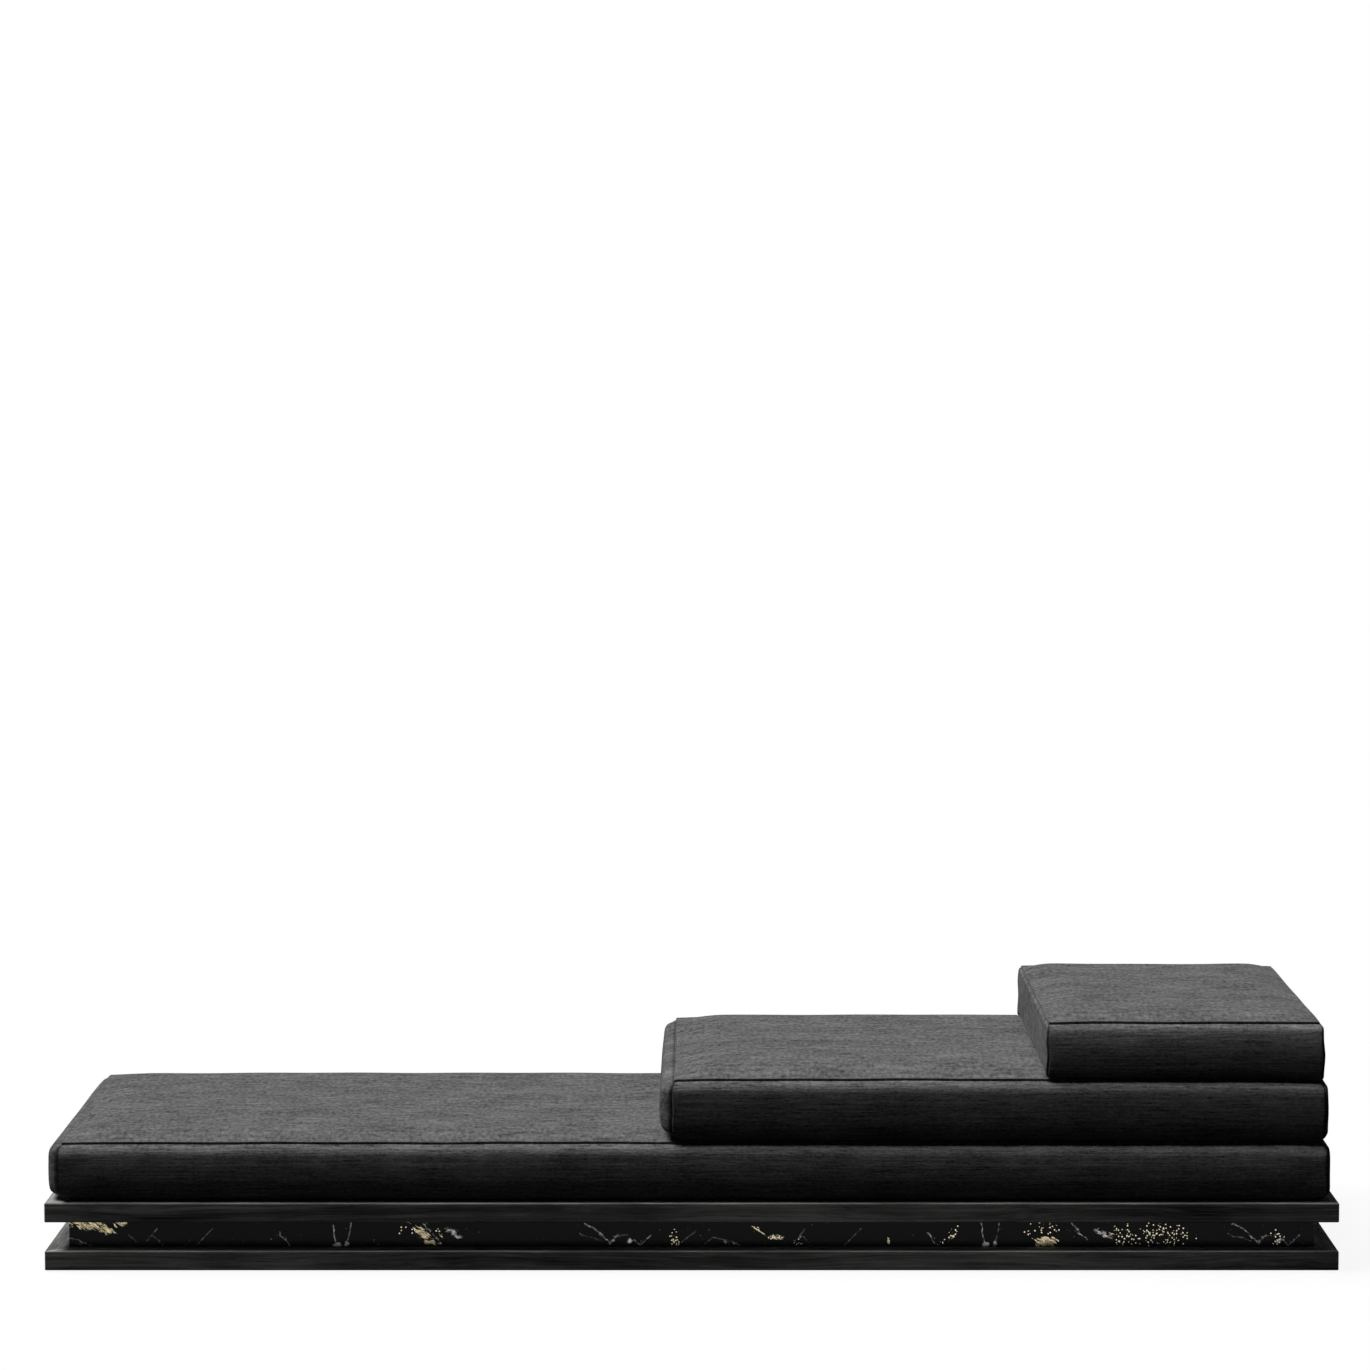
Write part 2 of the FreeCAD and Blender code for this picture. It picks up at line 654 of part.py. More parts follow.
def side_panels(cushion):
    """Front panel, back panel with its slot for the zip, and the pair of end panels."""
    ring = border_ring(cushion)
    front = side_wedge(cushion, -1)
    rear = side_wedge(cushion, 1)
    return {
        "front_panel": ring.common(front),
        "rear_panel": ring.common(rear).cut(zip_slot(cushion)),
        "end_panels": ring.cut(front).cut(rear),
    }


def foam_core(cushion):
    """Foam block inside the cover."""
    inset = GROOVE_DEPTH + BORDER_RIM + FOAM_CLEARANCE
    return lofted(cushion, [
        (inset, BOTTOM_SEAM_HEIGHT + FOAM_CLEARANCE),
        (inset, cushion.seam_height - FOAM_CLEARANCE),
    ])


def piping_loop(cushion, height):
    """Piping sewn into one seam, lying in the groove between two panels."""
    radius = PIPING_DIAMETER / 2
    groove_slope = math.atan2(GROOVE_HALF_HEIGHT, GROOVE_DEPTH)
    inset = GROOVE_DEPTH - (radius + PIPING_CLEARANCE) / math.sin(groove_slope)
    spans = []
    for side in outline(cushion, inset, height).Edges:
        points = side.discretize(Number=2 * PIPING_SPANS + 1)
        for i in range(0, 2 * PIPING_SPANS, 2):
            spans.append(Part.Arc(*points[i:i + 3]).toShape())
    first = spans[0]
    start = first.valueAt(first.FirstParameter)
    section = Part.Wire(Part.makeCircle(radius, start, first.tangentAt(first.FirstParameter)))
    return Part.Wire(spans).makePipeShell([section], True, False)


# Zips

def zip_slot(cushion):
    """Opening through the back of the border for the zip."""
    half_length = cushion.zip_half_length()
    half_height = ZIP_TAPE_HEIGHT / 2
    z = cushion.zip_z()
    y_low = cushion.depth / 2 - GROOVE_DEPTH - BORDER_RIM - DRAW_IN - OVERCUT
    y_high = cushion.depth / 2 + cushion.bulge + OVERCUT
    centre = cushion.centre_x
    return box(centre - half_length, centre + half_length, y_low, y_high, z - half_height, z + half_height)


def zip_chain(cushion):
    """Zip tape with its closed coil along the middle."""
    half_length = cushion.zip_half_length() - ZIP_FIT
    half_height = ZIP_TAPE_HEIGHT / 2 - ZIP_FIT
    face = cushion.zip_face()
    z = cushion.zip_z()
    x_low = cushion.centre_x - half_length
    x_high = cushion.centre_x + half_length
    tape = box(x_low, x_high, face - ZIP_TAPE_THICKNESS, face, z - half_height, z + half_height)
    coil = box(x_low, x_high, face, face + COIL_PROUD, z - COIL_HEIGHT / 2, z + COIL_HEIGHT / 2)
    return tape.fuse(coil).removeSplitter()


def slider_x(cushion):
    """X of the slider's middle with the zip closed."""
    return cushion.centre_x - cushion.zip_half_length() + SLIDER_START + SLIDER_LENGTH / 2


def slider_face(cushion):
    """Y of the slider's outer face."""
    return cushion.zip_face() + SLIDER_CLEARANCE + SLIDER_DEPTH


def pull_pin_y(cushion):
    """Y of the pin that the pull tab swings on."""
    return slider_face(cushion) + LUG_HEIGHT / 2


def zip_slider(cushion):
    """Slider that straddles the coil, with a pin between two lugs for the pull tab."""
    x = slider_x(cushion)
    z = cushion.zip_z()
    face = slider_face(cushion)
    half_length = SLIDER_LENGTH / 2
    half_height = SLIDER_HEIGHT / 2
    channel_half = COIL_HEIGHT / 2 + SLIDER_CLEARANCE
    channel_top = cushion.zip_face() + COIL_PROUD + SLIDER_CLEARANCE
    body = box(x - half_length, x + half_length, face - SLIDER_DEPTH, face, z - half_height, z + half_height)
    channel = box(
        x - half_length - OVERCUT, x + half_length + OVERCUT,
        face - SLIDER_DEPTH - OVERCUT, channel_top, z - channel_half, z + channel_half,
    )
    slider = body.cut(channel)
    for side in (-1, 1):
        inner = x + side * LUG_GAP / 2
        outer = inner + side * LUG_THICKNESS
        lug_half = PULL_EYE_DIAMETER / 2
        slider = slider.fuse(box(
            min(inner, outer), max(inner, outer), face, face + LUG_HEIGHT, z - lug_half, z + lug_half,
        ))
    pin_start = Vector(x - LUG_GAP / 2, pull_pin_y(cushion), z)
    pin = Part.makeCylinder(PULL_PIN_DIAMETER / 2, LUG_GAP, pin_start, X_AXIS)
    return slider.fuse(pin).removeSplitter()


def zip_pull(cushion):
    """Pull tab that hangs from the slider's pin."""
    x = slider_x(cushion)
    y = pull_pin_y(cushion)
    z = cushion.zip_z()
    eye_half = LUG_GAP / 2 - PULL_SIDE_CLEARANCE
    eye = Part.makeCylinder(PULL_EYE_DIAMETER / 2, 2 * eye_half, Vector(x - eye_half, y, z), X_AXIS)
    half_width = PULL_WIDTH / 2
    half_thickness = PULL_THICKNESS / 2
    neck_z = z - PULL_EYE_DIAMETER / 2 - LUG_THICKNESS
    plan = [
        Vector(x - eye_half, y - half_thickness, z),
        Vector(x + eye_half, y - half_thickness, z),
        Vector(x + eye_half, y - half_thickness, neck_z),
        Vector(x + half_width, y - half_thickness, neck_z - half_width),
        Vector(x + half_width, y - half_thickness, z - PULL_LENGTH),
        Vector(x - half_width, y - half_thickness, z - PULL_LENGTH),
        Vector(x - half_width, y - half_thickness, neck_z - half_width),
        Vector(x - eye_half, y - half_thickness, neck_z),
    ]
    tab = prism(plan, Vector(0, PULL_THICKNESS, 0))
    bore = Part.makeCylinder(
        PULL_PIN_DIAMETER / 2 + PULL_PIN_CLEARANCE,
        LUG_GAP, Vector(x - LUG_GAP / 2, y, z), X_AXIS,
    )
    return eye.fuse(tab).cut(bore).removeSplitter()


def make_cushions():
    """Cover panels, piping, foam and zip of every cushion."""
    nodes = {}
    for cushion in make_cushion_list():
        seams = (BOTTOM_SEAM_HEIGHT, cushion.seam_height)
        pieces = {
            "top_panel": top_panel(cushion),
            **side_panels(cushion),
            "bottom_panel": bottom_panel(cushion),
            "piping": Part.makeCompound([piping_loop(cushion, height) for height in seams]),
            "foam_core": foam_core(cushion),
            "zip_chain": zip_chain(cushion),
            "zip_slider": zip_slider(cushion),
            "zip_pull": zip_pull(cushion),
        }
        nodes.update({f"{cushion.name}_cushion_{piece}": shape for piece, shape in pieces.items()})
    return nodes


def main():
    """Builds every piece and writes one STEP file for each."""
    os.makedirs("parts", exist_ok=True)
    nodes = {**make_decks(), **make_marble(), **make_plinth(), **make_cushions()}
    for name, shape in nodes.items():
        shape.exportStep(f"parts/{name}.step")
        print(name, len(shape.Solids), round(shape.Volume), shape.isValid())
    print(len(nodes), "pieces")


main()
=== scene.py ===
import json
import math

import bpy
import numpy as np
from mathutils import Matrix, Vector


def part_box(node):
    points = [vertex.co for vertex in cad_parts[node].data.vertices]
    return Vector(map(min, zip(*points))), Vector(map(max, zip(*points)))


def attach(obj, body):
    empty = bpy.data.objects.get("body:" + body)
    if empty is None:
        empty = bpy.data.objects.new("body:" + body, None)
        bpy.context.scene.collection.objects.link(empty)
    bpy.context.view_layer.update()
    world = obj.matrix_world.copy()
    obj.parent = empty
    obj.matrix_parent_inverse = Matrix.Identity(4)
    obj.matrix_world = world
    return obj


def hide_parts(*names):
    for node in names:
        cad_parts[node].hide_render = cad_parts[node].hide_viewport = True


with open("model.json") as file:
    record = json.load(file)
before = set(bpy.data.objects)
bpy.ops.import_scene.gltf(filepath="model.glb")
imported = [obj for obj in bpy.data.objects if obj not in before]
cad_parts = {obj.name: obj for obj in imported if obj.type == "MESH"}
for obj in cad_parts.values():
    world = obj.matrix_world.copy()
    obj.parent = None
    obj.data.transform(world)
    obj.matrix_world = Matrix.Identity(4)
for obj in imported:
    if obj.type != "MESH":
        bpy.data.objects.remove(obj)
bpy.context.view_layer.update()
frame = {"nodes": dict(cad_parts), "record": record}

# Looks of a low chaise longue: charcoal box cushions on dark timber decks round a veined marble band.
# All sizes are in metres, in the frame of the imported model.

# Camera of the photograph
CAMERA_LENS_MM = 113.62
CAMERA_SENSOR_MM = 36.0
CAMERA_PLACE = (0.032, -8.304, 1.745)
CAMERA_PITCH = math.radians(4.718)
CAMERA_SHIFT_X = -0.0175
CAMERA_REACH = 200.0

# Light
SUN_STRENGTH = 3.35
SUN_DISC = math.radians(32)
SUN_TILT_LEFT = math.radians(22.5)
SUN_TILT_BACK = math.radians(4)
FILL_STRENGTH = 0.025
FLOOR_SIZE = 80.0
FLOOR_GLOW = 0.92
FLOOR_BOUNCE = 0.018

# Cloth's shade, how far the shade painted into its creases darkens it, and how far its pattern is shifted
# from one panel to the next
CLOTH_SHADE = 0.142
PAINTED_SHADE_DEPTH = 0.85
THREAD_PITCH = 0.0016
PANEL_SHIFT = (1.37, 0.61)

# Grid of the covers: rows beside each seam, up to a share of the edge's length, then even spacing
SEAM_ROWS = (0.0025, 0.0055, 0.0095, 0.0145, 0.021, 0.029, 0.039)
SIDE_ROWS = (0.0003, 0.0010, 0.0020, 0.0035, 0.0060, 0.0095, 0.0140, 0.0195, 0.0270, 0.0360)
ROWS_LIMIT = 0.4
GRID = 0.011
COARSE_GRID = 0.024
LINE_GAP = 0.0016
LINE_DIGITS = 6

# Rolls of the covers' sides
ROLL_POWER = 2.5
BELLY_REACH = 0.065
TUCK_HEIGHT = 0.040
END_ROLL = 0.028
END_START = 0.12
CRISP_EDGE = 0.010
FLAT_EDGE = 0.003
SHARP_ANGLE = math.radians(55)

# Uneven seams
CORNER_DROP_REACH = 0.055
SEAM_LIP = 0.0025
SEAM_LIP_REACH = 0.05
SEAM_WAVE = 0.0010
SEAM_WAVE_LENGTHS = (0.21, 0.47, 1.30)
SEAM_WAVE_PHASE = 2.0
SEAM_WAVE_SLANT = 0.7
UPRIGHT_WAVE = 0.0012
UPRIGHT_WAVE_LENGTHS = (0.052, 0.083)
UPRIGHT_WAVE_PHASE = 1.0
UPRIGHT_WAVE_REACH = 0.02
PUCKER = 0.28
PUCKER_LENGTHS = (0.043, 0.071, 0.127)
PUCKER_PHASE = 0.4
PUCKER_REACH = 0.02

# Sewing and rest, with the reach of the shade painted along the ends' seams and low where a cushion rests
GROOVE_DEPTH = 0.0055
PIPING_RADIUS = 0.0011
PIPING_SIDES = 8
PIPING_LAST_SPAN = 0.01
END_PAINTED_SHADE_REACH = 0.0025
REST_PAINTED_SHADE_REACH = 0.016
REST_GAP = 0.0004

# Smallest length to divide by
TINY = 1e-9

# Cloth simulation, which adds the last share of the swelling
FULLNESS_BEFORE_CLOTH = 0.90
CLOTH_FRAMES = 20
CLOTH_PRESSURE = 4.0

# Zip: each step along a tooth is the share of the coil's height and how far its crest leans
ZIP_CLEARANCE = 0.0005
ZIP_LIP = 0.0018
ZIP_PITCH = 0.004
TAPE_THICKNESS = 0.002
COIL_HALF = 0.0029
COIL_STEP = 0.0004
COIL_SHOULDER = 0.6
COIL_CREST = 0.6
TOOTH_STEPS = ((0.55, 0.0005), (0.9, 0.0005), (1.0, -0.0005), (0.9, -0.0005))
SLIDER_ROUNDING = 0.0005
SLIDER_SEGMENTS = 3

# Sides of a cushion: the axis that each faces along, and in which direction
FACES = {
    "front": (1, -1),
    "right": (0, 1),
    "rear": (1, 1),
    "left": (0, -1),
    "top": (2, 1),
    "bottom": (2, -1),
}

# The four upright sides, and the two sides that each meets at its upright seams
BESIDE = {
    "front": ("left", "right"),
    "right": ("front", "rear"),
    "rear": ("left", "right"),
    "left": ("front", "rear"),
}


# Node trees

class Graph:
    """Node tree of a material or a world, with short calls for the nodes in use."""

    def __init__(self, holder):
        holder.use_nodes = True
        self.tree = holder.node_tree
        self.tree.nodes.clear()

    def feed(self, socket, value):
        """Links a socket to another one, or sets its value."""
        if isinstance(value, bpy.types.NodeSocket):
            self.tree.links.new(value, socket)
        else:
            socket.default_value = value

    def node(self, kind, inputs=None, **settings):
        """Adds a node; inputs are given by name or by number."""
        node = self.tree.nodes.new("ShaderNode" + kind)
        for name, value in settings.items():
            setattr(node, name, value)
        for name, value in (inputs or {}).items():
            self.feed(node.inputs[name], value)
        return node

    def math(self, operation, first, second=0.0):
        return self.node("Math", {0: first, 1: second}, operation=operation).outputs[0]

    def times(self, first, second):
        return self.math("MULTIPLY", first, second)

    def highest(self, values):
        """Largest of several values, each of which is made only when its turn comes."""
        total = None
        for value in values:
            total = value if total is None else self.math("MAXIMUM", total, value)
        return total

    def blend(self, *pairs):
        """Sum of values, each times its weight."""
        total = None
        for value, weight in pairs:
            part = self.times(value, weight)
            total = part if total is None else self.math("ADD", total, part)
        return total

    def vectors(self, operation, first, second=(0.0, 0.0, 0.0)):
        """Outputs of a vector node: a vector first, or a number named Value."""
        return self.node("VectorMath", {0: first, 1: second}, operation=operation).outputs

    def shift(self, place, offset):
        return self.vectors("ADD", place, offset)[0]

    def parts(self, place):
        return self.node("SeparateXYZ", {0: place}).outputs

    def vector(self, x, y, z):
        return self.node("CombineXYZ", {0: x, 1: y, 2: z}).outputs[0]

    def noise(self, place, scale=1.0, detail=2.0, roughness=0.5):
        inputs = {"Vector": place, "Scale": scale, "Detail": detail, "Roughness": roughness}
        return self.node("TexNoise", inputs).outputs[0]

    def grain(self, place, factors, detail=2.0, roughness=0.5):
        """Noise with its own number of waves per metre along each axis."""
        return self.noise(self.vectors("MULTIPLY", place, factors)[0], 1.0, detail, roughness)

    def between(self, value, low, high, to_low=0.0, to_high=1.0):
        """Maps the span from low to high onto another one, held at its ends."""
        inputs = {"Value": value, "From Min": low, "From Max": high, "To Min": to_low, "To Max": to_high}
        return self.node("MapRange", inputs).outputs[0]

    def ramp(self, share, stops):
        """Colour ramp; each stop is (position, colour)."""
        node = self.node("ValToRGB", {0: share})
        elements = node.color_ramp.elements
        elements.remove(elements[1])
        for number, (position, colour) in enumerate(stops):
            element = elements[0] if number == 0 else elements.new(position)
            element.position = position
            element.color = (*colour, 1.0)
        return node.outputs[0]

    def mix(self, share, first, second):
        """Mixes two colours."""
        node = self.node("Mix", data_type="RGBA")
        for number, value in ((0, share), (6, first), (7, second)):
            self.feed(node.inputs[number], (*value, 1.0) if isinstance(value, tuple) else value)
        return node.outputs[2]

    def bump(self, height, distance, strength):
        return self.node("Bump", {"Height": height, "Distance": distance, "Strength": strength}).outputs[0]

    def object_place(self):
        return self.node("TexCoord").outputs["Object"]

    def seen(self):
        """1 for rays from the camera, mirrors and glass, and 0 for light bounced between surfaces."""
        path = self.node("LightPath").outputs
        shown = self.math("MAXIMUM", path["Is Camera Ray"], path["Is Glossy Ray"])
        return self.math("MAXIMUM", shown, path["Is Transmission Ray"])


def finish(name, look, *values):
    """New material whose principled shader gets the inputs that look returns for its graph."""
    material = bpy.data.materials.new(name)
    graph = Graph(material)
    shader = graph.node("BsdfPrincipled", look(graph, *values))
    graph.node("OutputMaterial", {"Surface": shader.outputs[0]})
    return material


def grey(level):
    return (level, level, level, 1.0)


# Finishes

def charcoal_cloth(graph, across_scale, weights):
    """Charcoal cloth in plain weave with slubs along its length, with shade painted into it by its seams and
    low on its long sides.

    across_scale is how much finer the slubs are than on the top, and weights are those of the clouds,
    streaks, slubs, mottle, yarns and flecks.
    """
    turn = 2 * math.pi / THREAD_PITCH
    place = graph.node("UVMap", uv_map="cloth").outputs[0]
    # painted shade: how much shade is painted onto each point of the cover, stored there as an attribute
    crease = graph.node("Attribute", attribute_name="crease").outputs["Fac"]
    along, across, _ = graph.parts(place)
    warp = graph.math("SINE", graph.times(along, turn))
    weft = graph.math("SINE", graph.times(across, turn))
    weave = graph.times(warp, weft)
    clouds = graph.grain(place, (8.0, 12.0, 1.0), detail=3.0)
    streaks = graph.grain(place, (8.0, 55.0 * across_scale, 1.0), detail=3.0)
    slubs = graph.grain(place, (26.0, 74.0 * across_scale, 1.0), detail=5.0, roughness=0.72)
    mottle = graph.grain(place, (125.0, 62.0 * across_scale, 1.0), detail=3.0, roughness=0.65)
    yarns = graph.grain(place, (60.0, 620.0, 1.0))
    flecks = graph.grain(place, (330.0, 420.0, 1.0), roughness=0.7)
    level = graph.blend(*zip((clouds, streaks, slubs, mottle, yarns, flecks), weights), (weave, 0.08))
    middle = sum(weights) / 2
    # painted shade: lit is the share of the cloth's colour left where shade is painted on
    lit = graph.between(crease, 0.0, 1.0, 1.0, 1.0 - PAINTED_SHADE_DEPTH)
    shade = graph.between(level, middle - 1, middle + 1, 0.0, 2 * CLOTH_SHADE)
    height = graph.blend((weave, 0.25), (yarns, 0.8), (slubs, 0.6), (flecks, 0.5), (streaks, 1.4))
    return {
        "Base Color": graph.times(shade, lit),
        "Roughness": 0.85,
        "Specular IOR Level": 0.0,
        "Sheen Weight": 0.05,
        "Sheen Roughness": 0.5,
        "Normal": graph.bump(height, 0.0003, 0.7),
    }


def stained_oak(graph, axis):
    """Black-stained oak whose grain runs along one axis."""
    parts = graph.parts(graph.object_place())
    along, across = (0, 1) if axis == "X" else (1, 0)
    place = graph.vector(parts[along], parts[across], parts[2])
    wander = graph.grain(place, (1.6, 5.0, 9.0))
    lean = graph.times(graph.math("SUBTRACT", wander, 0.5), 0.05)
    bent = graph.shift(place, graph.vector(0.0, lean, lean))
    boards = graph.grain(place, (3.5, 6.0, 9.0), detail=3.0)
    rings = graph.grain(bent, (1.3, 45.0, 75.0), detail=4.0, roughness=0.62)
    pores = graph.grain(bent, (26.0, 700.0, 900.0))
    fine = graph.grain(bent, (7.0, 320.0, 420.0), detail=3.0, roughness=0.6)
    level = graph.math("SUBTRACT", graph.blend((boards, 0.40), (rings, 0.55), (fine, 0.35)), 0.15)
    colour = graph.ramp(level, [
        (0.34, (0.052, 0.051, 0.050)),
        (0.50, (0.230, 0.228, 0.224)),
        (0.66, (0.560, 0.554, 0.544)),
    ])
    dark_pores = graph.between(pores, 0.62, 0.72)
    colour = graph.mix(graph.times(dark_pores, 0.6), colour, (0.015, 0.015, 0.015))
    return {
        "Base Color": colour,
        "Roughness": graph.between(level, 0.3, 0.7, 0.75, 0.6),
        "Specular IOR Level": 0.005,
        "Normal": graph.bump(graph.blend((fine, 0.5), (dark_pores, -0.6)), 0.0002, 0.5),
    }


# Marble: white veins of one length, as points (along, up) of broken lines with their strength
MARBLE_LENGTH = 1.2077
MARBLE_START = -1.2
VEIN_WIDTH = 0.0018
WHITE_VEINS = (
    (0.30, [(0.017, 0.044), (0.030, 0.056), (0.056, 0.052), (0.082, 0.042)]),
    (0.20, [(0.150, 0.062), (0.165, 0.048)]),
    (0.30, [(0.204, 0.073), (0.185, 0.050)]),
    (0.25, [(0.198, 0.060), (0.213, 0.040)]),
    (0.28, [(0.307, 0.073), (0.277, 0.042)]),
    (0.50, [(0.432, 0.066), (0.440, 0.052), (0.451, 0.042)]),
    (0.60, [(0.532, 0.085), (0.533, 0.066), (0.538, 0.042)]),
    (0.42, [(0.566, 0.085), (0.561, 0.058), (0.554, 0.040)]),
    (0.50, [(0.700, 0.083), (0.728, 0.052)]),
    (0.58, [(1.000, 0.083), (1.022, 0.071), (1.048, 0.045), (1.062, 0.062)]),
    (0.25, [(0.990, 0.064), (1.035, 0.050)]),
    (0.30, [(1.054, 0.058), (1.082, 0.062)]),
    (0.50, [(1.093, 0.052), (1.103, 0.041), (1.125, 0.062)]),
    (0.28, [(1.181, 0.048), (1.207, 0.068)]),
)

# Patches on the marble, as (along, up, half length, half height, lean, strength).
# The wisps lie on one length, as the veins do. The gold lies along the whole band.
WHITE_WISPS = (
    (0.065, 0.047, 0.034, 0.008, -0.10, 0.75),
    (0.192, 0.058, 0.015, 0.010, 0.90, 0.70),
    (0.440, 0.056, 0.010, 0.010, -1.00, 0.60),
    (0.540, 0.043, 0.012, 0.007, 0.25, 1.60),
    (0.557, 0.044, 0.007, 0.010, -0.40, 1.15),
    (0.700, 0.064, 0.022, 0.010, -0.60, 0.60),
    (0.758, 0.064, 0.026, 0.011, -0.55, 1.10),
    (1.052, 0.050, 0.010, 0.008, 0.60, 0.85),
    (1.085, 0.050, 0.009, 0.009, 0.70, 1.15),
    (1.110, 0.050, 0.014, 0.008, 0.60, 0.70),
)
BRUSHED_GOLD = (
    (-1.128, 0.083, 0.064, 0.020, -0.10, 1.22),
    (-1.094, 0.073, 0.036, 0.014, -0.35, 1.18),
    (-1.062, 0.083, 0.028, 0.013, 0.30, 1.05),
    (-0.500, 0.064, 0.028, 0.022, -0.80, 1.10),
    (-0.484, 0.046, 0.030, 0.009, -0.20, 1.15),
    (-0.468, 0.062, 0.010, 0.010, -1.80, 0.90),
    (0.124, 0.070, 0.024, 0.008, -0.75, 0.95),
    (0.160, 0.058, 0.024, 0.010, -0.10, 1.10),
    (0.366, 0.050, 0.004, 0.014, 0.00, 1.15),
    (0.484, 0.056, 0.016, 0.009, 1.00, 0.85),
    (0.660, 0.048, 0.038, 0.018, 0.00, 1.25),
    (0.720, 0.068, 0.022, 0.006, -0.75, 0.80),
    (0.770, 0.064, 0.034, 0.012, -0.15, 0.90),
)
SPECKLED_GOLD = (
    (-0.530, 0.074, 0.024, 0.016, 0.00, 0.60),
    (-0.470, 0.066, 0.010, 0.016, -1.60, 0.90),
    (-0.034, 0.054, 0.013, 0.018, 0.00, 1.00),
    (0.156, 0.057, 0.020, 0.010, -0.10, 1.05),
    (0.192, 0.048, 0.022, 0.010, -0.40, 1.05),
    (0.480, 0.058, 0.022, 0.012, 1.00, 1.00),
    (0.632, 0.064, 0.016, 0.022, 0.00, 0.70),
    (0.655, 0.074, 0.030, 0.012, 0.00, 0.50),
    (0.815, 0.054, 0.042, 0.026, -0.20, 1.15),
    (0.862, 0.064, 0.044, 0.026, 0.25, 1.00),
    (0.905, 0.056, 0.036, 0.026, -0.20, 0.85),
    (1.088, 0.058, 0.014, 0.026, 0.00, 0.75),
)
PATCH_CORE = 0.35
PATCH_RIM = 1.1
STROKE_SLANT = math.radians(33)
SPECKLES_PER_METRE = 250.0
BAND_HALF_DEPTH = 0.36
TURN_AT_CORNER = 0.7


def vein_piece(graph, place, start, end, strength):
    """Strength of one straight piece of a vein at a place."""
    ahead = (end[0] - start[0], end[1] - start[1], 0.0)
    length_squared = ahead[0] ** 2 + ahead[1] ** 2
    from_start = graph.shift(place, (-start[0], -start[1], 0.0))
    share = graph.vectors("DOT_PRODUCT", from_start, ahead)["Value"]
    share = graph.between(share, 0.0, length_squared)
    nearest = graph.node("VectorMath", {0: ahead, "Scale": share}, operation="SCALE").outputs[0]
    gap = graph.vectors("DISTANCE", from_start, nearest)["Value"]
    return graph.between(gap, 0.0, VEIN_WIDTH, strength, 0.0)


def vein_lines(graph, place):
    """Strength of the white veins at a place on one length of marble."""
    return graph.highest(
        vein_piece(graph, place, start, end, strength)
        for strength, points in WHITE_VEINS
        for start, end in zip(points, points[1:])
    )


def patch(graph, place, along, up, half_length, half_height, lean, strength):
    """How densely one patch covers a place: fully in its core, and not at all past its rim."""
    steepness = math.hypot(1.0, lean)
    inputs = {
        "Vector": place,
        "Location": (along, up, 0.0),
        "Rotation": (0.0, 0.0, math.atan(lean)),
        "Scale": (half_length * steepness, half_height / steepness, 1.0),
    }
    from_middle = graph.node("Mapping", inputs, vector_type="TEXTURE").outputs[0]
    return graph.between(graph.vectors("LENGTH", from_middle)["Value"], PATCH_CORE, PATCH_RIM, strength, 0.0)


def patches(graph, place, shapes):
    """How densely the patches of one kind cover a place."""
    return graph.highest(patch(graph, place, *shape) for shape in shapes)


def white_marks(graph, warped, smoke):
    """Share of white veins and wisps, which repeat with each length of marble."""
    run, up, _ = graph.parts(warped)
    along = graph.math("FLOORED_MODULO", graph.math("SUBTRACT", run, MARBLE_START), MARBLE_LENGTH)
    place = graph.vector(along, up, 0.0)
    veins = graph.times(vein_lines(graph, place), graph.between(smoke, 0.38, 0.60, 0.05, 1.9))
    wisps = graph.blend((patches(graph, place, WHITE_WISPS), 0.42), (smoke, 1.0))
    return graph.math("MAXIMUM", veins, graph.between(wisps, 0.80, 1.06))


def brushed_gold(graph, warped):
    """Share of gold in slanting strokes, and the noise that makes the strokes."""
    slanted = graph.node("Mapping", {"Vector": warped, "Rotation": (0.0, 0.0, STROKE_SLANT)}).outputs[0]
    strokes = graph.grain(slanted, (70.0, 330.0, 1.0), detail=3.0, roughness=0.55)
    cover = graph.blend((patches(graph, warped, BRUSHED_GOLD), 0.52), (strokes, 1.0))
    return graph.between(cover, 0.97, 1.06), strokes


def speckled_gold(graph, flat, warped):
    """Share of gold in small dots, which gather in loose groups."""
    cells = graph.node("TexVoronoi", {"Vector": flat, "Scale": SPECKLES_PER_METRE}).outputs
    dot = graph.between(cells["Distance"], 0.30, 0.40, 1.0, 0.0)
    chance = graph.parts(cells["Color"])[0]
    gathering = graph.grain(flat, (52.0, 52.0, 1.0))
    density = patches(graph, warped, SPECKLED_GOLD)
    density = graph.times(density, graph.between(gathering, 0.34, 0.60, 0.4, 1.15))
    lit = graph.between(graph.math("ADD", chance, density), 0.98, 1.02)
    return graph.times(dot, lit)


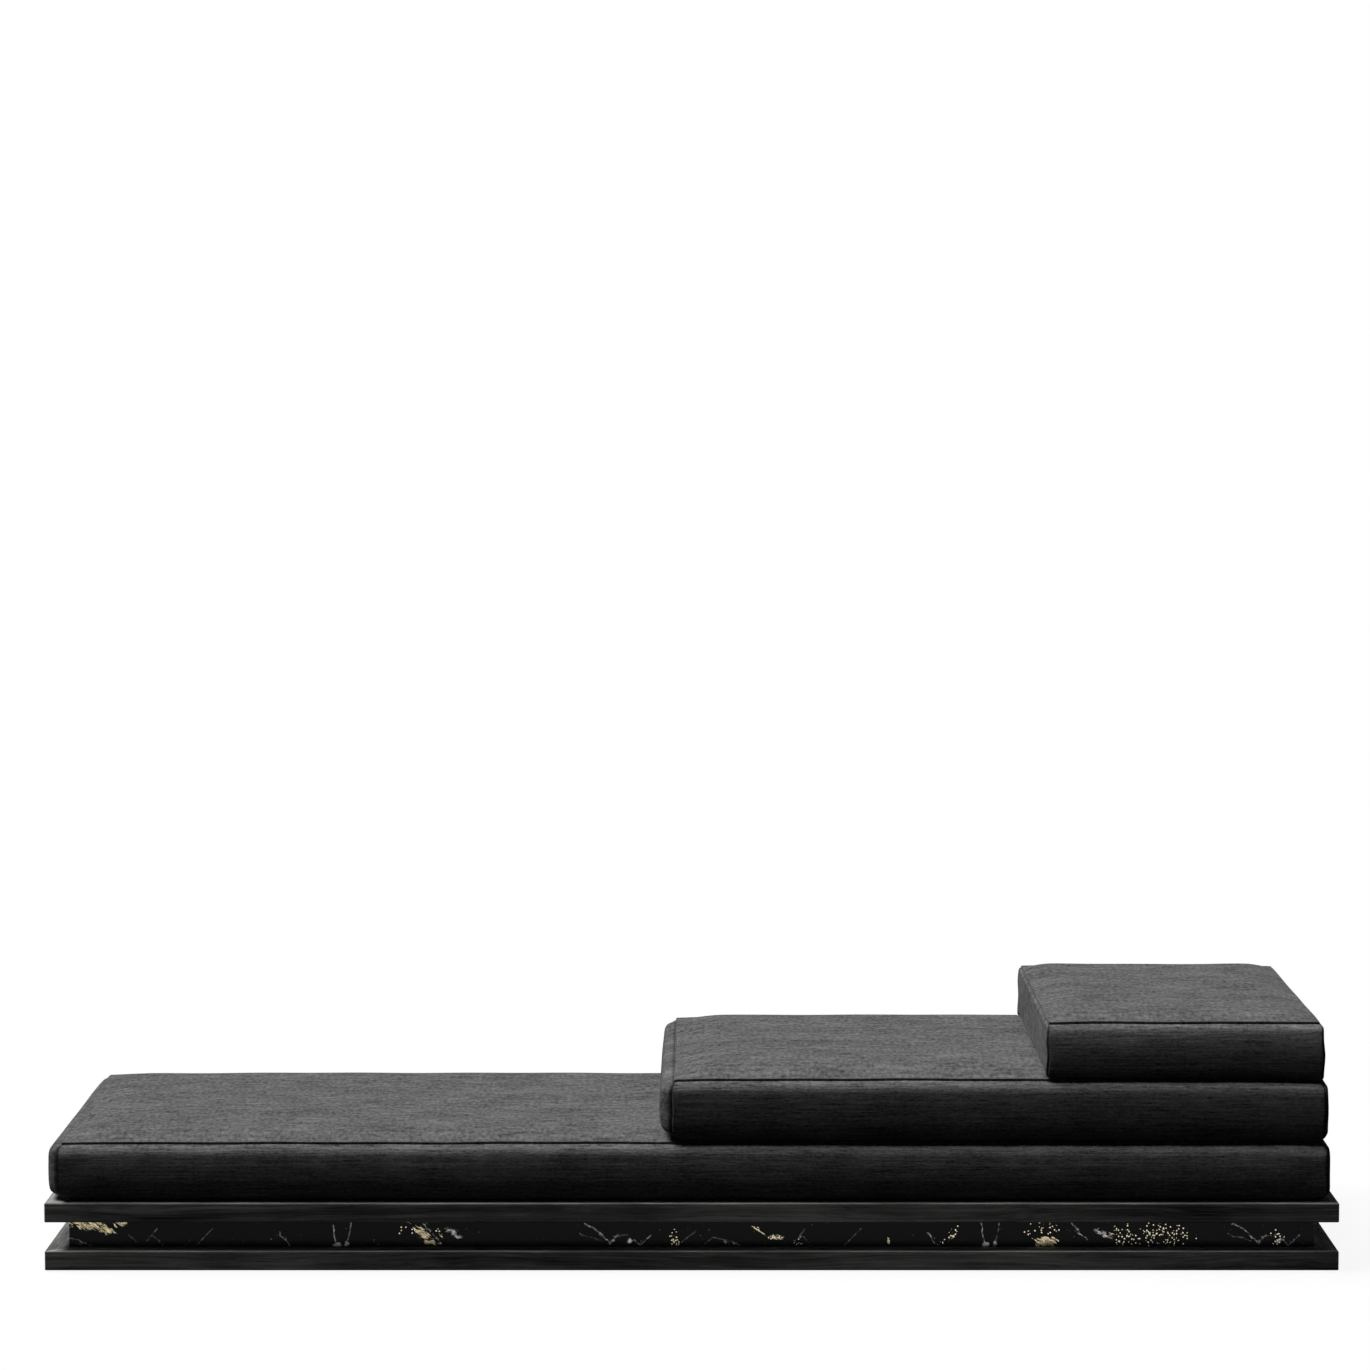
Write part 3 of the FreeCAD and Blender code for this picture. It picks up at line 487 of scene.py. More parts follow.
def black_marble(graph):
    """Polished black marble with brushed and speckled gold patches, thin white veins and wisps."""
    x, y, z = graph.parts(graph.object_place())
    past_corner = graph.times(graph.math("ADD", y, BAND_HALF_DEPTH), TURN_AT_CORNER)
    flat = graph.vector(graph.math("ADD", x, past_corner), z, 0.0)
    drift = graph.grain(flat, (55.0, 55.0, 1.0), detail=4.0, roughness=0.6)
    drift = graph.times(graph.math("SUBTRACT", drift, 0.5), 0.010)
    warped = graph.shift(flat, graph.vector(drift, drift, 0.0))
    grains = graph.grain(flat, (420.0, 420.0, 1.0), roughness=0.6)
    clouds = graph.grain(flat, (12.0, 18.0, 1.0), detail=4.0)
    smoke = graph.grain(warped, (150.0, 150.0, 1.0), detail=4.0, roughness=0.6)

    white = white_marks(graph, warped, smoke)
    brushed, strokes = brushed_gold(graph, warped)
    speckled = speckled_gold(graph, flat, warped)
    gold = graph.math("MAXIMUM", brushed, speckled)

    base = graph.ramp(clouds, [(0.3, (0.006, 0.006, 0.0063)), (0.7, (0.026, 0.026, 0.0265))])
    sparkle = graph.math("MAXIMUM", graph.blend((strokes, 0.7), (grains, 0.3)), speckled)
    gold_tone = graph.ramp(sparkle, [
        (0.38, (0.060, 0.051, 0.025)),
        (0.50, (0.340, 0.290, 0.155)),
        (0.60, (0.880, 0.765, 0.510)),
        (0.90, (0.960, 0.860, 0.620)),
    ])
    colour = graph.mix(gold, base, gold_tone)
    colour = graph.mix(white, colour, (0.70, 0.70, 0.70))
    return {
        "Base Color": colour,
        "Metallic": graph.math("MAXIMUM", graph.times(gold, 0.8), graph.times(white, 0.6)),
        "Roughness": graph.between(clouds, 0.3, 0.7, 0.22, 0.30),
        "Specular IOR Level": 0.08,
        "Normal": graph.bump(grains, 0.00003, 0.2),
    }


def pale_wood(graph, light, dark):
    """Planed pale timber, or the face of plywood, with its grain along X."""
    place = graph.object_place()
    rings = graph.grain(place, (2.0, 40.0, 60.0), detail=4.0, roughness=0.6)
    fine = graph.grain(place, (14.0, 420.0, 420.0))
    level = graph.blend((rings, 0.7), (fine, 0.3))
    return {
        "Base Color": graph.ramp(level, [(0.35, dark), (0.65, light)]),
        "Roughness": graph.between(fine, 0.3, 0.7, 0.55, 0.7),
        "Specular IOR Level": 0.3,
        "Normal": graph.bump(level, 0.0003, 0.4),
    }


def bare_metal(graph, light, dark, metallic, roughness):
    """Metal with fine turning marks and a little tarnish."""
    place = graph.object_place()
    marks = graph.grain(place, (900.0, 900.0, 2400.0))
    tarnish = graph.noise(place, scale=140.0, detail=4.0, roughness=0.6)
    return {
        "Base Color": graph.ramp(tarnish, [(0.35, dark), (0.6, light)]),
        "Metallic": metallic,
        "Roughness": graph.between(tarnish, 0.3, 0.7, roughness + 0.12, roughness),
        "Normal": graph.bump(marks, 0.00005, 0.5),
    }


def black_nylon(graph):
    """Woven black nylon tape and coil."""
    place = graph.object_place()
    wave = {"Vector": place, "Scale": 130.0, "Distortion": 0.6}
    ribs = graph.node("TexWave", wave, bands_direction="X").outputs[1]
    lint = graph.noise(place, scale=900.0)
    level = graph.blend((ribs, 0.6), (lint, 0.4))
    return {
        "Base Color": graph.ramp(level, [(0.2, (0.008, 0.008, 0.008)), (0.8, (0.030, 0.030, 0.031))]),
        "Roughness": graph.between(lint, 0.3, 0.7, 0.45, 0.65),
        "Specular IOR Level": 0.3,
        "Normal": graph.bump(level, 0.0002, 0.6),
    }


def black_felt(graph):
    """Dense black felt."""
    fibres = graph.noise(graph.object_place(), scale=700.0, detail=5.0, roughness=0.7)
    return {
        "Base Color": graph.ramp(fibres, [(0.3, (0.02, 0.02, 0.02)), (0.7, (0.075, 0.075, 0.076))]),
        "Roughness": 0.95,
        "Specular IOR Level": 0.1,
        "Sheen Weight": 0.3,
        "Normal": graph.bump(fibres, 0.0006, 0.8),
    }


def make_finishes():
    """One finish per slot of the record, with a second oak for the end rails and a second cloth."""
    looks = {
        "stained_oak": (stained_oak, "X"),
        "stained_oak_ends": (stained_oak, "Y"),
        "marble": (black_marble,),
        "charcoal_fabric": (charcoal_cloth, 1.0, (0.9, 0.7, 1.9, 2.4, 1.1, 1.2)),
        "charcoal_sides": (charcoal_cloth, 4.5, (0.9, 1.6, 2.2, 1.8, 1.1, 1.2)),
        "plywood": (pale_wood, (0.56, 0.42, 0.26), (0.42, 0.29, 0.16)),
        "beam_pine": (pale_wood, (0.64, 0.48, 0.29), (0.46, 0.30, 0.15)),
        "dowel_beech": (pale_wood, (0.64, 0.48, 0.34), (0.52, 0.36, 0.23)),
        "zip_nylon": (black_nylon,),
        "zip_metal": (bare_metal, (0.035, 0.035, 0.036), (0.018, 0.018, 0.018), 0.0, 0.28),
        "zinc_steel": (bare_metal, (0.66, 0.66, 0.64), (0.45, 0.45, 0.44), 1.0, 0.26),
        "insert_brass": (bare_metal, (0.78, 0.60, 0.30), (0.55, 0.40, 0.18), 1.0, 0.28),
        "glide_felt": (black_felt,),
    }
    return {name: finish(name, *look) for name, look in looks.items()}


def dress_nodes(finishes):
    """Gives each node of the frame the finish of its slot."""
    for row in frame["record"]["subparts"]:
        slot = row["material_slot"]
        node = row["node"]
        if slot == "stained_oak" and ("left_rail" in node or "right_rail" in node):
            slot = "stained_oak_ends"
        if slot in finishes:
            for holder in frame["nodes"][node].material_slots:
                holder.material = finishes[slot]


# Cushion covers

class Pad:
    """One cushion: the box of its seams, taken from the frame, and the form of its cover.

    By side, in the order front, right, rear, left: inset is how far a side lies inside the box, and swell how
    far it stands out between its seams. shoulder and tuck are how far it is drawn in at its top and bottom
    seam, and bottom_roll is the height over which it swells above the bottom seam.

    top_roll is the height of the roll below the top seam, and belly the share of a side's depth that builds
    up slowly. rear_roll is how far from the rear an end swells fully, or None where all upright edges are
    crisp. sink is how far the top seam lies below the top panel, and crown how far the top rises within
    crown_reach. The corner values round the outline seen from the front, and the plan values the one seen
    from above. splay is how much further out the left end's seams lie at the rear, and the drop values are
    how far the top's corners hang. end_groove is the depth of the seams round the ends. end_crease and
    rest_crease are the strengths of the painted shade along the top's ends and of the painted contact
    shade low on the long sides, and upright_crease is the reach of the painted shade beside the upright
    seams.
    """

    BY_SIDE = ("inset", "swell", "shoulder", "tuck", "bottom_roll")

    def __init__(self, name, below=None, **form):
        self.name = name
        self.below = below
        self.above = None
        if below is not None:
            below.above = self
        for key, value in form.items():
            setattr(self, key, dict(zip(BESIDE, value)) if key in self.BY_SIDE else value)
        top_low, top_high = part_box(f"{name}_cushion_top_panel")
        bottom_low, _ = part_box(f"{name}_cushion_bottom_panel")
        seam = top_low.z - self.sink
        self.low = np.array((top_low.x, top_low.y, bottom_low.z))
        self.high = np.array((top_high.x, top_high.y, seam))
        self.size = self.high - self.low
        self.pressed_rise = top_high.z - seam
        self.zip_low, self.zip_high = (np.array(corner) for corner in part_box(f"{name}_cushion_zip_chain"))

    def edges(self, places):
        """Distances of points from the six sides of the seam box."""
        found = {}
        for side, (axis, direction) in FACES.items():
            place = places[:, axis]
            found[side] = self.high[axis] - place if direction > 0 else place - self.low[axis]
        return found

    def shares(self, edge):
        """Shares of the way from left to right, from front to rear and from bottom to top."""
        return edge["left"] / self.size[0], edge["front"] / self.size[1], edge["bottom"] / self.size[2]

    def rise(self, edge):
        """Share of the crown's height at a distance from the four edges."""
        share = np.ones_like(edge["left"])
        for side in ("left", "right", "front", "rear"):
            share = share * ease(edge[side], self.crown_reach)
        return share

    def pressed_top(self, places):
        """Height of the top where another cushion rests on it."""
        return self.high[2] + np.minimum(self.crown * self.rise(self.edges(places)), self.pressed_rise)

    def upper_profile(self, edge):
        """Share of a side's depth reached at a distance below the top seam: a roll, then a slow belly."""
        rolled = roll(edge["top"], self.top_roll, ROLL_POWER)
        return (1 - self.belly) * rolled + self.belly * roll(edge["top"], BELLY_REACH)

    def drawn_in(self, edge):
        """How far each upright side lies inside the box at a height."""
        at_top = 1 - self.upper_profile(edge)
        at_bottom = 1 - roll(edge["bottom"], TUCK_HEIGHT)
        drawn = {}
        for side in BESIDE:
            drawn[side] = self.inset[side] + (at_top * self.shoulder[side] + at_bottom * self.tuck[side])
        return drawn

    def side_profile(self, edge, side):
        """Share of a side's swell at a height."""
        return self.upper_profile(edge) * roll(edge["bottom"], self.bottom_roll[side])

    def edge_profile(self, edge, side):
        """Share of a side's swell at a distance from its upright seams."""
        first, second = (edge[end] for end in BESIDE[side])
        if self.rear_roll is None:
            return roll(first, CRISP_EDGE) * roll(second, CRISP_EDGE)
        if side in ("left", "right"):
            front = END_START + (1 - END_START) * ease(first, END_ROLL)
            return front * (first > 0) * ease(second, self.rear_roll)
        return roll(first, FLAT_EDGE) * roll(second, FLAT_EDGE)


def roll(distance, reach, power=2.0):
    """Rounded rise from a seam, an ellipse or a squarer curve: 0 on the seam, 1 from reach onwards."""
    share = np.clip(distance / reach, 0.0, 1.0)
    return (1.0 - (1.0 - share) ** power) ** (1.0 / power)


def ease(distance, reach):
    """Soft rise from a seam: 0 on the seam, 1 from reach onwards."""
    return np.sin(np.clip(distance / reach, 0.0, 1.0) * math.pi / 2)


def corner_shift(edge, first, second, radius):
    """Moves of points that round the corners between two pairs of sides, each given as (low, high)."""
    near, beside = (
        np.clip(1 - edge[high] / radius, 0, 1) - np.clip(1 - edge[low] / radius, 0, 1)
        for low, high in (first, second)
    )
    first_move = radius * near * (np.sqrt(1 - beside * beside / 2) - 1)
    second_move = radius * beside * (np.sqrt(1 - near * near / 2) - 1)
    return first_move, second_move


def ripple(place, lengths, phase):
    """Uneven wave along a seam, from about -1 to 1."""
    waves = [np.sin(2 * math.pi * place / length + phase * turn) for turn, length in enumerate(lengths, 2)]
    return sum(waves) / len(lengths)


def grid_lines(low, high, spacing, rows, extra=()):
    """Lines along one edge: rows beside its seams, even spacing, and extra lines in place of those near."""
    rows = [row for row in rows if row < ROWS_LIMIT * (high - low)]
    start = rows[-1] if rows else 0.0
    count = max(1, round((high - low - 2 * start) / spacing))
    even = np.linspace(low + start, high - start, count + 1)
    ends = [low, high] + [low + row for row in rows[:-1]] + [high - row for row in rows[:-1]]
    lines = np.unique(np.round(np.concatenate([even, ends]), LINE_DIGITS))
    for line in extra:
        lines = lines[np.abs(lines - line) > LINE_GAP]
    return np.sort(np.concatenate([lines, np.array(extra)]))


class Shell:
    """Closed box of quads over three sets of grid lines, where each side is one sewn panel."""

    def __init__(self, lines):
        self.lines = lines
        shape = tuple(len(axis) for axis in lines)
        cells = np.stack(np.indices(shape), axis=-1)
        last = np.array(shape) - 1
        outside = ((cells == 0) | (cells == last)).any(axis=-1)
        self.number = np.full(shape, -1)
        self.number[outside] = np.arange(outside.sum())
        self.grid = np.stack(np.meshgrid(*lines, indexing="ij"), axis=-1)[outside]
        self.on = {}
        for side, (axis, direction) in FACES.items():
            self.on[side] = cells[outside][:, axis] == (last[axis] if direction > 0 else 0)
        self.seam = sum(on.astype(int) for on in self.on.values()) > 1

    def panel(self, side):
        """Numbers of the points of one side as a table, and the two axes that the table runs along."""
        axis, direction = FACES[side]
        table = np.take(self.number, -1 if direction > 0 else 0, axis=axis)
        return table, [other for other in range(3) if other != axis]

    def quads(self, side):
        """Faces of one side, wound so that they face outwards."""
        table, _ = self.panel(side)
        corners = [table[:-1, :-1], table[1:, :-1], table[1:, 1:], table[:-1, 1:]]
        quads = np.stack(corners, axis=-1).reshape(-1, 4)
        return quads if side in ("front", "right", "top") else quads[:, ::-1]


def add_object(name, data):
    """New object in the scene."""
    piece = bpy.data.objects.new(name, data)
    bpy.context.scene.collection.objects.link(piece)
    return piece


def make_mesh(name, points, faces, uv):
    """Smooth mesh object with its cloth coordinates."""
    mesh = bpy.data.meshes.new(name)
    mesh.from_pydata(points.tolist(), [], [list(face) for face in faces])
    mesh.uv_layers.new(name="cloth").data.foreach_set("uv", uv.astype(np.float32).ravel())
    mesh.shade_smooth()
    mesh.set_sharp_from_angle(angle=SHARP_ANGLE)
    mesh.update()
    return add_object(name, mesh)


def boxed(pad, edge, places):
    """Points of the seam box with its corners rounded and its sides drawn in."""
    x, y, z = places.T
    along_x, along_y, up = pad.shares(edge)
    radius = np.where(up > 0.5, pad.corner_top, pad.corner_bottom) * (1 - along_y) + pad.corner_rear * along_y
    face_x, face_z = corner_shift(edge, ("left", "right"), ("bottom", "top"), radius)
    radius = np.where(along_y < 0.5, pad.plan_front, pad.plan_rear)
    plan_x, plan_y = corner_shift(edge, ("left", "right"), ("front", "rear"), radius)
    drawn = pad.drawn_in(edge)
    left = drawn["left"] - pad.splay * along_y
    x = x + face_x + plan_x + left * (1 - along_x) - drawn["right"] * along_x
    y = y + plan_y + drawn["front"] * (1 - along_y) - drawn["rear"] * along_y
    return np.stack([x, y, z + face_z], axis=-1)


def add_waves(pad, edge, places, points):
    """Lets the top's corners hang and the seams waver."""
    _, along_y, up = pad.shares(edge)
    near_end = np.minimum(edge["left"], edge["right"])
    near_side = np.minimum(edge["front"], edge["rear"])
    from_upright = near_end ** 2 + near_side ** 2
    drop = pad.drop_front * (1 - along_y) + pad.drop_rear * along_y
    points[:, 2] -= drop * np.exp(-from_upright / CORNER_DROP_REACH ** 2) * up
    wave = ripple(edge["bottom"], UPRIGHT_WAVE_LENGTHS, UPRIGHT_WAVE_PHASE + pad.low[0])
    points[:, 0] += UPRIGHT_WAVE * wave * np.exp(-from_upright / UPRIGHT_WAVE_REACH ** 2)
    slanted = places[:, 0] + SEAM_WAVE_SLANT * places[:, 1]
    sag = ripple(slanted, SEAM_WAVE_LENGTHS, SEAM_WAVE_PHASE + pad.low[0])
    points[:, 2] += SEAM_WAVE * sag * up


def swell_sides(pad, shell, edge, points, fullness):
    """Swells the upright sides, with puckers along the front's top seam, and crowns the top."""
    _, along_y, _ = pad.shares(edge)
    puckers = ripple(shell.grid[:, 0] - shell.grid[:, 1], PUCKER_LENGTHS, PUCKER_PHASE)
    gathered = 1 + PUCKER * np.exp(-edge["top"] / PUCKER_REACH) * puckers
    for side in BESIDE:
        profile = pad.side_profile(edge, side)
        if side == "front":
            profile = profile * gathered
        bulge = pad.edge_profile(edge, side) * profile
        swell = pad.swell[side] - pad.splay * along_y if side == "left" else pad.swell[side]
        axis, direction = FACES[side]
        on = shell.on[side]
        points[on, axis] += (direction * fullness * swell * bulge)[on]
    top = shell.on["top"]
    lowered = SEAM_LIP * np.clip(1 - edge["top"] / SEAM_LIP_REACH, 0, 1)
    points[~top, 2] -= lowered[~top]
    points[top, 2] += (fullness * pad.crown * pad.rise(edge))[top]


def shaped(pad, shell, fullness):
    """Places of a cover's points, with a share of its full swell."""
    edge = pad.edges(shell.grid)
    points = boxed(pad, edge, shell.grid)
    add_waves(pad, edge, shell.grid, points)
    swell_sides(pad, shell, edge, points, fullness)
    return points


def cloth_moves(pad):
    """How far each panel of a cover, held along its seams, moves under a light inner pressure."""
    shell = Shell([grid_lines(pad.low[axis], pad.high[axis], COARSE_GRID, ()) for axis in range(3)])
    start = shaped(pad, shell, FULLNESS_BEFORE_CLOTH)
    faces = np.concatenate([shell.quads(side) for side in FACES])
    cover = make_mesh(pad.name + "_cloth", start, faces, np.zeros((faces.size, 2)))
    held = np.flatnonzero(shell.seam | shell.on["bottom"])
    cover.vertex_groups.new(name="seams").add(held.tolist(), 1.0, "REPLACE")
    cloth = cover.modifiers.new("cloth", "CLOTH")
    cloth.settings.vertex_group_mass = "seams"
    cloth.settings.use_pressure = True
    cloth.settings.uniform_pressure_force = CLOTH_PRESSURE
    cloth.settings.effector_weights.gravity = 0.0
    cloth.point_cache.frame_start = 1
    cloth.point_cache.frame_end = CLOTH_FRAMES
    scene = bpy.context.scene
    for number in range(1, CLOTH_FRAMES + 1):
        scene.frame_set(number)
    swollen = cover.evaluated_get(bpy.context.evaluated_depsgraph_get()).data
    places = np.empty(len(start) * 3, np.float32)
    swollen.vertices.foreach_get("co", places)
    bpy.data.objects.remove(cover)
    scene.frame_set(1)
    return shell, places.reshape(-1, 3) - start


def spread_moves(pad, fine, coarse, moves):
    """Moves of a fine shell's points, taken from the coarse shell's panels and capped."""
    found = np.zeros_like(fine.grid)
    for side in FACES:
        table, axes = coarse.panel(side)
        values = moves[table]
        numbers = fine.panel(side)[0][1:-1, 1:-1].ravel()
        shares = []
        for axis in axes:
            lines = coarse.lines[axis]
            place = fine.grid[numbers, axis]
            cell = np.clip(np.searchsorted(lines, place, side="right") - 1, 0, len(lines) - 2)
            share = (place - lines[cell]) / (lines[cell + 1] - lines[cell])
            shares.append((cell, share[:, None]))
        (row, past_row), (column, past_column) = shares
        low = values[row, column] * (1 - past_row) + values[row + 1, column] * past_row
        high = values[row, column + 1] * (1 - past_row) + values[row + 1, column + 1] * past_row
        move = low * (1 - past_column) + high * past_column
        full = pad.crown if side == "top" else pad.swell.get(side, 0.0)
        most = (1 - FULLNESS_BEFORE_CLOTH) * full + TINY
        length = np.linalg.norm(move, axis=1, keepdims=True) + TINY
        found[numbers] = move / length * most * np.tanh(length / most)
    return found


def settle(pad, shell, points):
    """Rests a cushion on what lies below it and presses its top flat under what lies on it."""
    if pad.below is not None:
        bed = pad.below.pressed_top(points) + REST_GAP
        low_share = np.clip(1 - (points[:, 2] - pad.low[2]) / pad.size[2], 0, 1)
        points[:, 2] += (bed - pad.low[2]) * low_share ** 2
        points[:, 2] = np.maximum(points[:, 2], bed)
    if pad.above is not None:
        under = np.all((points[:, :2] > pad.above.low[:2]) & (points[:, :2] < pad.above.high[:2]), axis=1)
        pressed = under & shell.on["top"]
        points[pressed, 2] = np.minimum(points[pressed, 2], pad.pressed_top(points[pressed]) - REST_GAP)


def open_zip_channel(pad, shell, points):
    """Recess in the rear panel for the zip."""
    inside = shell.on["rear"].copy()
    for axis in (0, 2):
        place = shell.grid[:, axis]
        inside &= (place > pad.zip_low[axis] - ZIP_CLEARANCE) & (place < pad.zip_high[axis] + ZIP_CLEARANCE)
    points[inside] = shell.grid[inside]
    points[inside, 1] = pad.zip_low[1] - ZIP_CLEARANCE


def sew(pad, shell, points):
    """Pulls the seams in, which leaves a groove between two panels."""
    inward = np.zeros_like(points)
    for side, (axis, direction) in FACES.items():
        inward[shell.on[side], axis] -= direction
    inward /= np.maximum(np.linalg.norm(inward, axis=1, keepdims=True), TINY)
    at_end = shell.on["left"] | shell.on["right"]
    depth = np.where(at_end, pad.end_groove, GROOVE_DEPTH)[:, None]
    points[shell.seam] += (depth * inward)[shell.seam]


def painted_shade_share(pad, shell):
    """Share of painted shade at each point, from 0 to 1: by the ends' seams and low on the long sides, where
    shade would fall.
    """
    edge = pad.edges(shell.grid)
    near_end = np.minimum(edge["left"], edge["right"])
    near_side = np.minimum(edge["front"], edge["rear"])
    long_side = shell.on["front"] | shell.on["rear"]
    end = (shell.on["left"] | shell.on["right"]) & ~long_side
    top = shell.on["top"] & ~long_side
    depth = np.zeros(len(shell.grid))
    # painted shade beside the upright seams, along the end panels' edges and along the top's ends
    depth[long_side] = np.exp(-(near_end[long_side] / pad.upright_crease) ** 2)
    depth[end] = np.exp(-(near_side[end] / END_PAINTED_SHADE_REACH) ** 2)
    depth[top] = pad.end_crease * np.exp(-(near_end[top] / END_PAINTED_SHADE_REACH) ** 2)
    # painted contact shade low on the long sides, where the cushion rests on what lies below
    painted_contact_shade = pad.rest_crease * np.exp(-(edge["bottom"] / REST_PAINTED_SHADE_REACH) ** 2)
    return np.where(long_side, np.maximum(depth, painted_contact_shade), depth)


def cover_shell(pad):
    """Grid of a cover, with lines of its own round the zip."""
    beside_zip = [[low - ZIP_LIP, low, high, high + ZIP_LIP] for low, high in zip(pad.zip_low, pad.zip_high)]
    return Shell([
        grid_lines(pad.low[0], pad.high[0], GRID, SEAM_ROWS, beside_zip[0]),
        grid_lines(pad.low[1], pad.high[1], GRID, SEAM_ROWS),
        grid_lines(pad.low[2], pad.high[2], GRID, SIDE_ROWS, beside_zip[2]),
    ])


def cover_points(pad, shell):
    """Places of a cover's points once it is swollen, laid down and sewn."""
    points = shaped(pad, shell, FULLNESS_BEFORE_CLOTH) + spread_moves(pad, shell, *cloth_moves(pad))
    settle(pad, shell, points)
    open_zip_channel(pad, shell, points)
    sew(pad, shell, points)
    return points


def make_cover(pad, shell, points):
    """Closed cover of one cushion, whose front and rear have the second of its two finishes."""
    faces = []
    uv = []
    finish_numbers = []
    for number, side in enumerate(FACES):
        quads = shell.quads(side)
        _, axes = shell.panel(side)
        faces.append(quads)
        shift = (PANEL_SHIFT[0] * number + pad.low[0], PANEL_SHIFT[1] * number)
        uv.append(shell.grid[quads.ravel()][:, axes] + shift)
        finish_numbers.append(np.full(len(quads), int(side in ("front", "rear"))))
    cover = make_mesh(f"{pad.name}_cushion_cover", points, np.concatenate(faces), np.concatenate(uv))
    cover.data.polygons.foreach_set("material_index", np.concatenate(finish_numbers))
    # painted shade: the share of shade painted at each point, which the cloth finish reads
    cover.data.attributes.new("crease", "FLOAT", "POINT").data.foreach_set("value", painted_shade_share(pad, shell))
    return cover


def seam_loop(shell, points, side):
    """Closed path along the row of points just inside a panel's seam."""
    table, _ = shell.panel(side)
    inner = table[1:-1, 1:-1]
    ring = np.concatenate([inner[:-1, 0], inner[-1, :-1], inner[:0:-1, -1], inner[0, :0:-1]])
    return points[ring]


def tube(path):
    """Points, faces and cloth coordinates of piping along a closed path that lies nearly level."""
    ahead = np.roll(path, -1, axis=0) - np.roll(path, 1, axis=0)
    ahead /= np.linalg.norm(ahead, axis=1, keepdims=True)
    across = np.cross(ahead, (0.0, 0.0, 1.0))
    across /= np.linalg.norm(across, axis=1, keepdims=True)
    rise = np.cross(across, ahead)
    angles = np.linspace(0, 2 * math.pi, PIPING_SIDES, endpoint=False)
    outward = [math.cos(angle) * across + math.sin(angle) * rise for angle in angles]
    points = np.concatenate([path + PIPING_RADIUS * direction for direction in outward])
    count = len(path)
    step = np.arange(count)
    after = (step + 1) % count
    start = np.concatenate([[0], np.cumsum(np.linalg.norm(np.diff(path, axis=0), axis=1))])
    end = np.append(start[1:], start[-1] + PIPING_LAST_SPAN)
    width = 2 * math.pi * PIPING_RADIUS / PIPING_SIDES
    faces = []
    uv = []
    for number in range(PIPING_SIDES):
        here = number * count
        there = (number + 1) % PIPING_SIDES * count
        faces.append(np.stack([here + step, here + after, there + after, there + step], axis=-1))
        low = np.full(count, number * width)
        high = low + width
        corners = [(start, low), (end, low), (end, high), (start, high)]
        uv.append(np.stack([np.stack(corner, axis=-1) for corner in corners], axis=1).reshape(-1, 2))
    return points, np.concatenate(faces), np.concatenate(uv)


def make_piping(pad, shell, points):
    """Piping along the top and bottom seams of a cushion."""
    top_points, top_faces, top_uv = tube(seam_loop(shell, points, "top"))
    bottom_points, bottom_faces, bottom_uv = tube(seam_loop(shell, points, "bottom"))
    return make_mesh(
        f"{pad.name}_cushion_welt",
        np.concatenate([top_points, bottom_points]),
        np.concatenate([top_faces, bottom_faces + len(top_points)]),
        np.concatenate([top_uv, bottom_uv]),
    )


def zip_profile(pad, tooth, lean):
    """Outline of a zip at one place along it, as (y, z) from the middle of its height."""
    half = (pad.zip_high[2] - pad.zip_low[2]) / 2
    back = pad.zip_low[1]
    face = back + TAPE_THICKNESS
    top = face + (pad.zip_high[1] - face) * tooth
    shoulder = face + COIL_SHOULDER * (top - face)
    crest = COIL_CREST * COIL_HALF
    return [
        (back, -half), (face, -half), (face, -COIL_HALF - COIL_STEP), (shoulder, -COIL_HALF),
        (top, lean - crest), (top - COIL_STEP, lean), (top, lean + crest),
        (shoulder, COIL_HALF), (face, COIL_HALF + COIL_STEP), (face, half), (back, half),
    ]


def make_zip(pad):
    """Zip tape with a ribbed coil along its middle."""
    middle = (pad.zip_low[2] + pad.zip_high[2]) / 2
    count = round((pad.zip_high[0] - pad.zip_low[0]) / ZIP_PITCH) * len(TOOTH_STEPS)
    rows = []
    for number, x in enumerate(np.linspace(pad.zip_low[0], pad.zip_high[0], count + 1)):
        profile = zip_profile(pad, *TOOTH_STEPS[number % len(TOOTH_STEPS)])
        rows.append([(x, y, middle + z) for y, z in profile])
    points = np.array(rows).reshape(-1, 3)
    numbers = np.arange(len(points)).reshape(len(rows), -1)
    following = np.roll(numbers, -1, axis=1)
    quads = np.stack([numbers[:-1], following[:-1], following[1:], numbers[1:]], axis=-1).reshape(-1, 4)
    faces = [*quads, numbers[0][::-1], numbers[-1]]
    uv = points[np.concatenate(faces)][:, (0, 2)]
    return make_mesh(f"{pad.name}_cushion_zip", points, faces, uv)


def make_cushion(pad, finishes):
    """Cover, piping and zip of one cushion, each riding on the cushion's body."""
    name = f"{pad.name}_cushion"
    shell = cover_shell(pad)
    points = cover_points(pad, shell)
    cover = make_cover(pad, shell, points)
    piping = make_piping(pad, shell, points)
    chain = make_zip(pad)
    panels = ("top_panel", "front_panel", "rear_panel", "end_panels", "bottom_panel", "foam_core")
    pieces = (
        (cover, ("charcoal_fabric", "charcoal_sides"), panels),
        (piping, ("charcoal_fabric",), ("piping",)),
        (chain, ("zip_nylon",), ("zip_chain",)),
    )
    for piece, looks, nodes in pieces:
        for look in looks:
            piece.data.materials.append(finishes[look])
        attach(piece, name)
        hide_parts(*(f"{name}_{node}" for node in nodes))
    for part in ("zip_slider", "zip_pull"):
        rounding = frame["nodes"][f"{name}_{part}"].modifiers.new("rounded", "BEVEL")
        rounding.width = SLIDER_ROUNDING
        rounding.segments = SLIDER_SEGMENTS


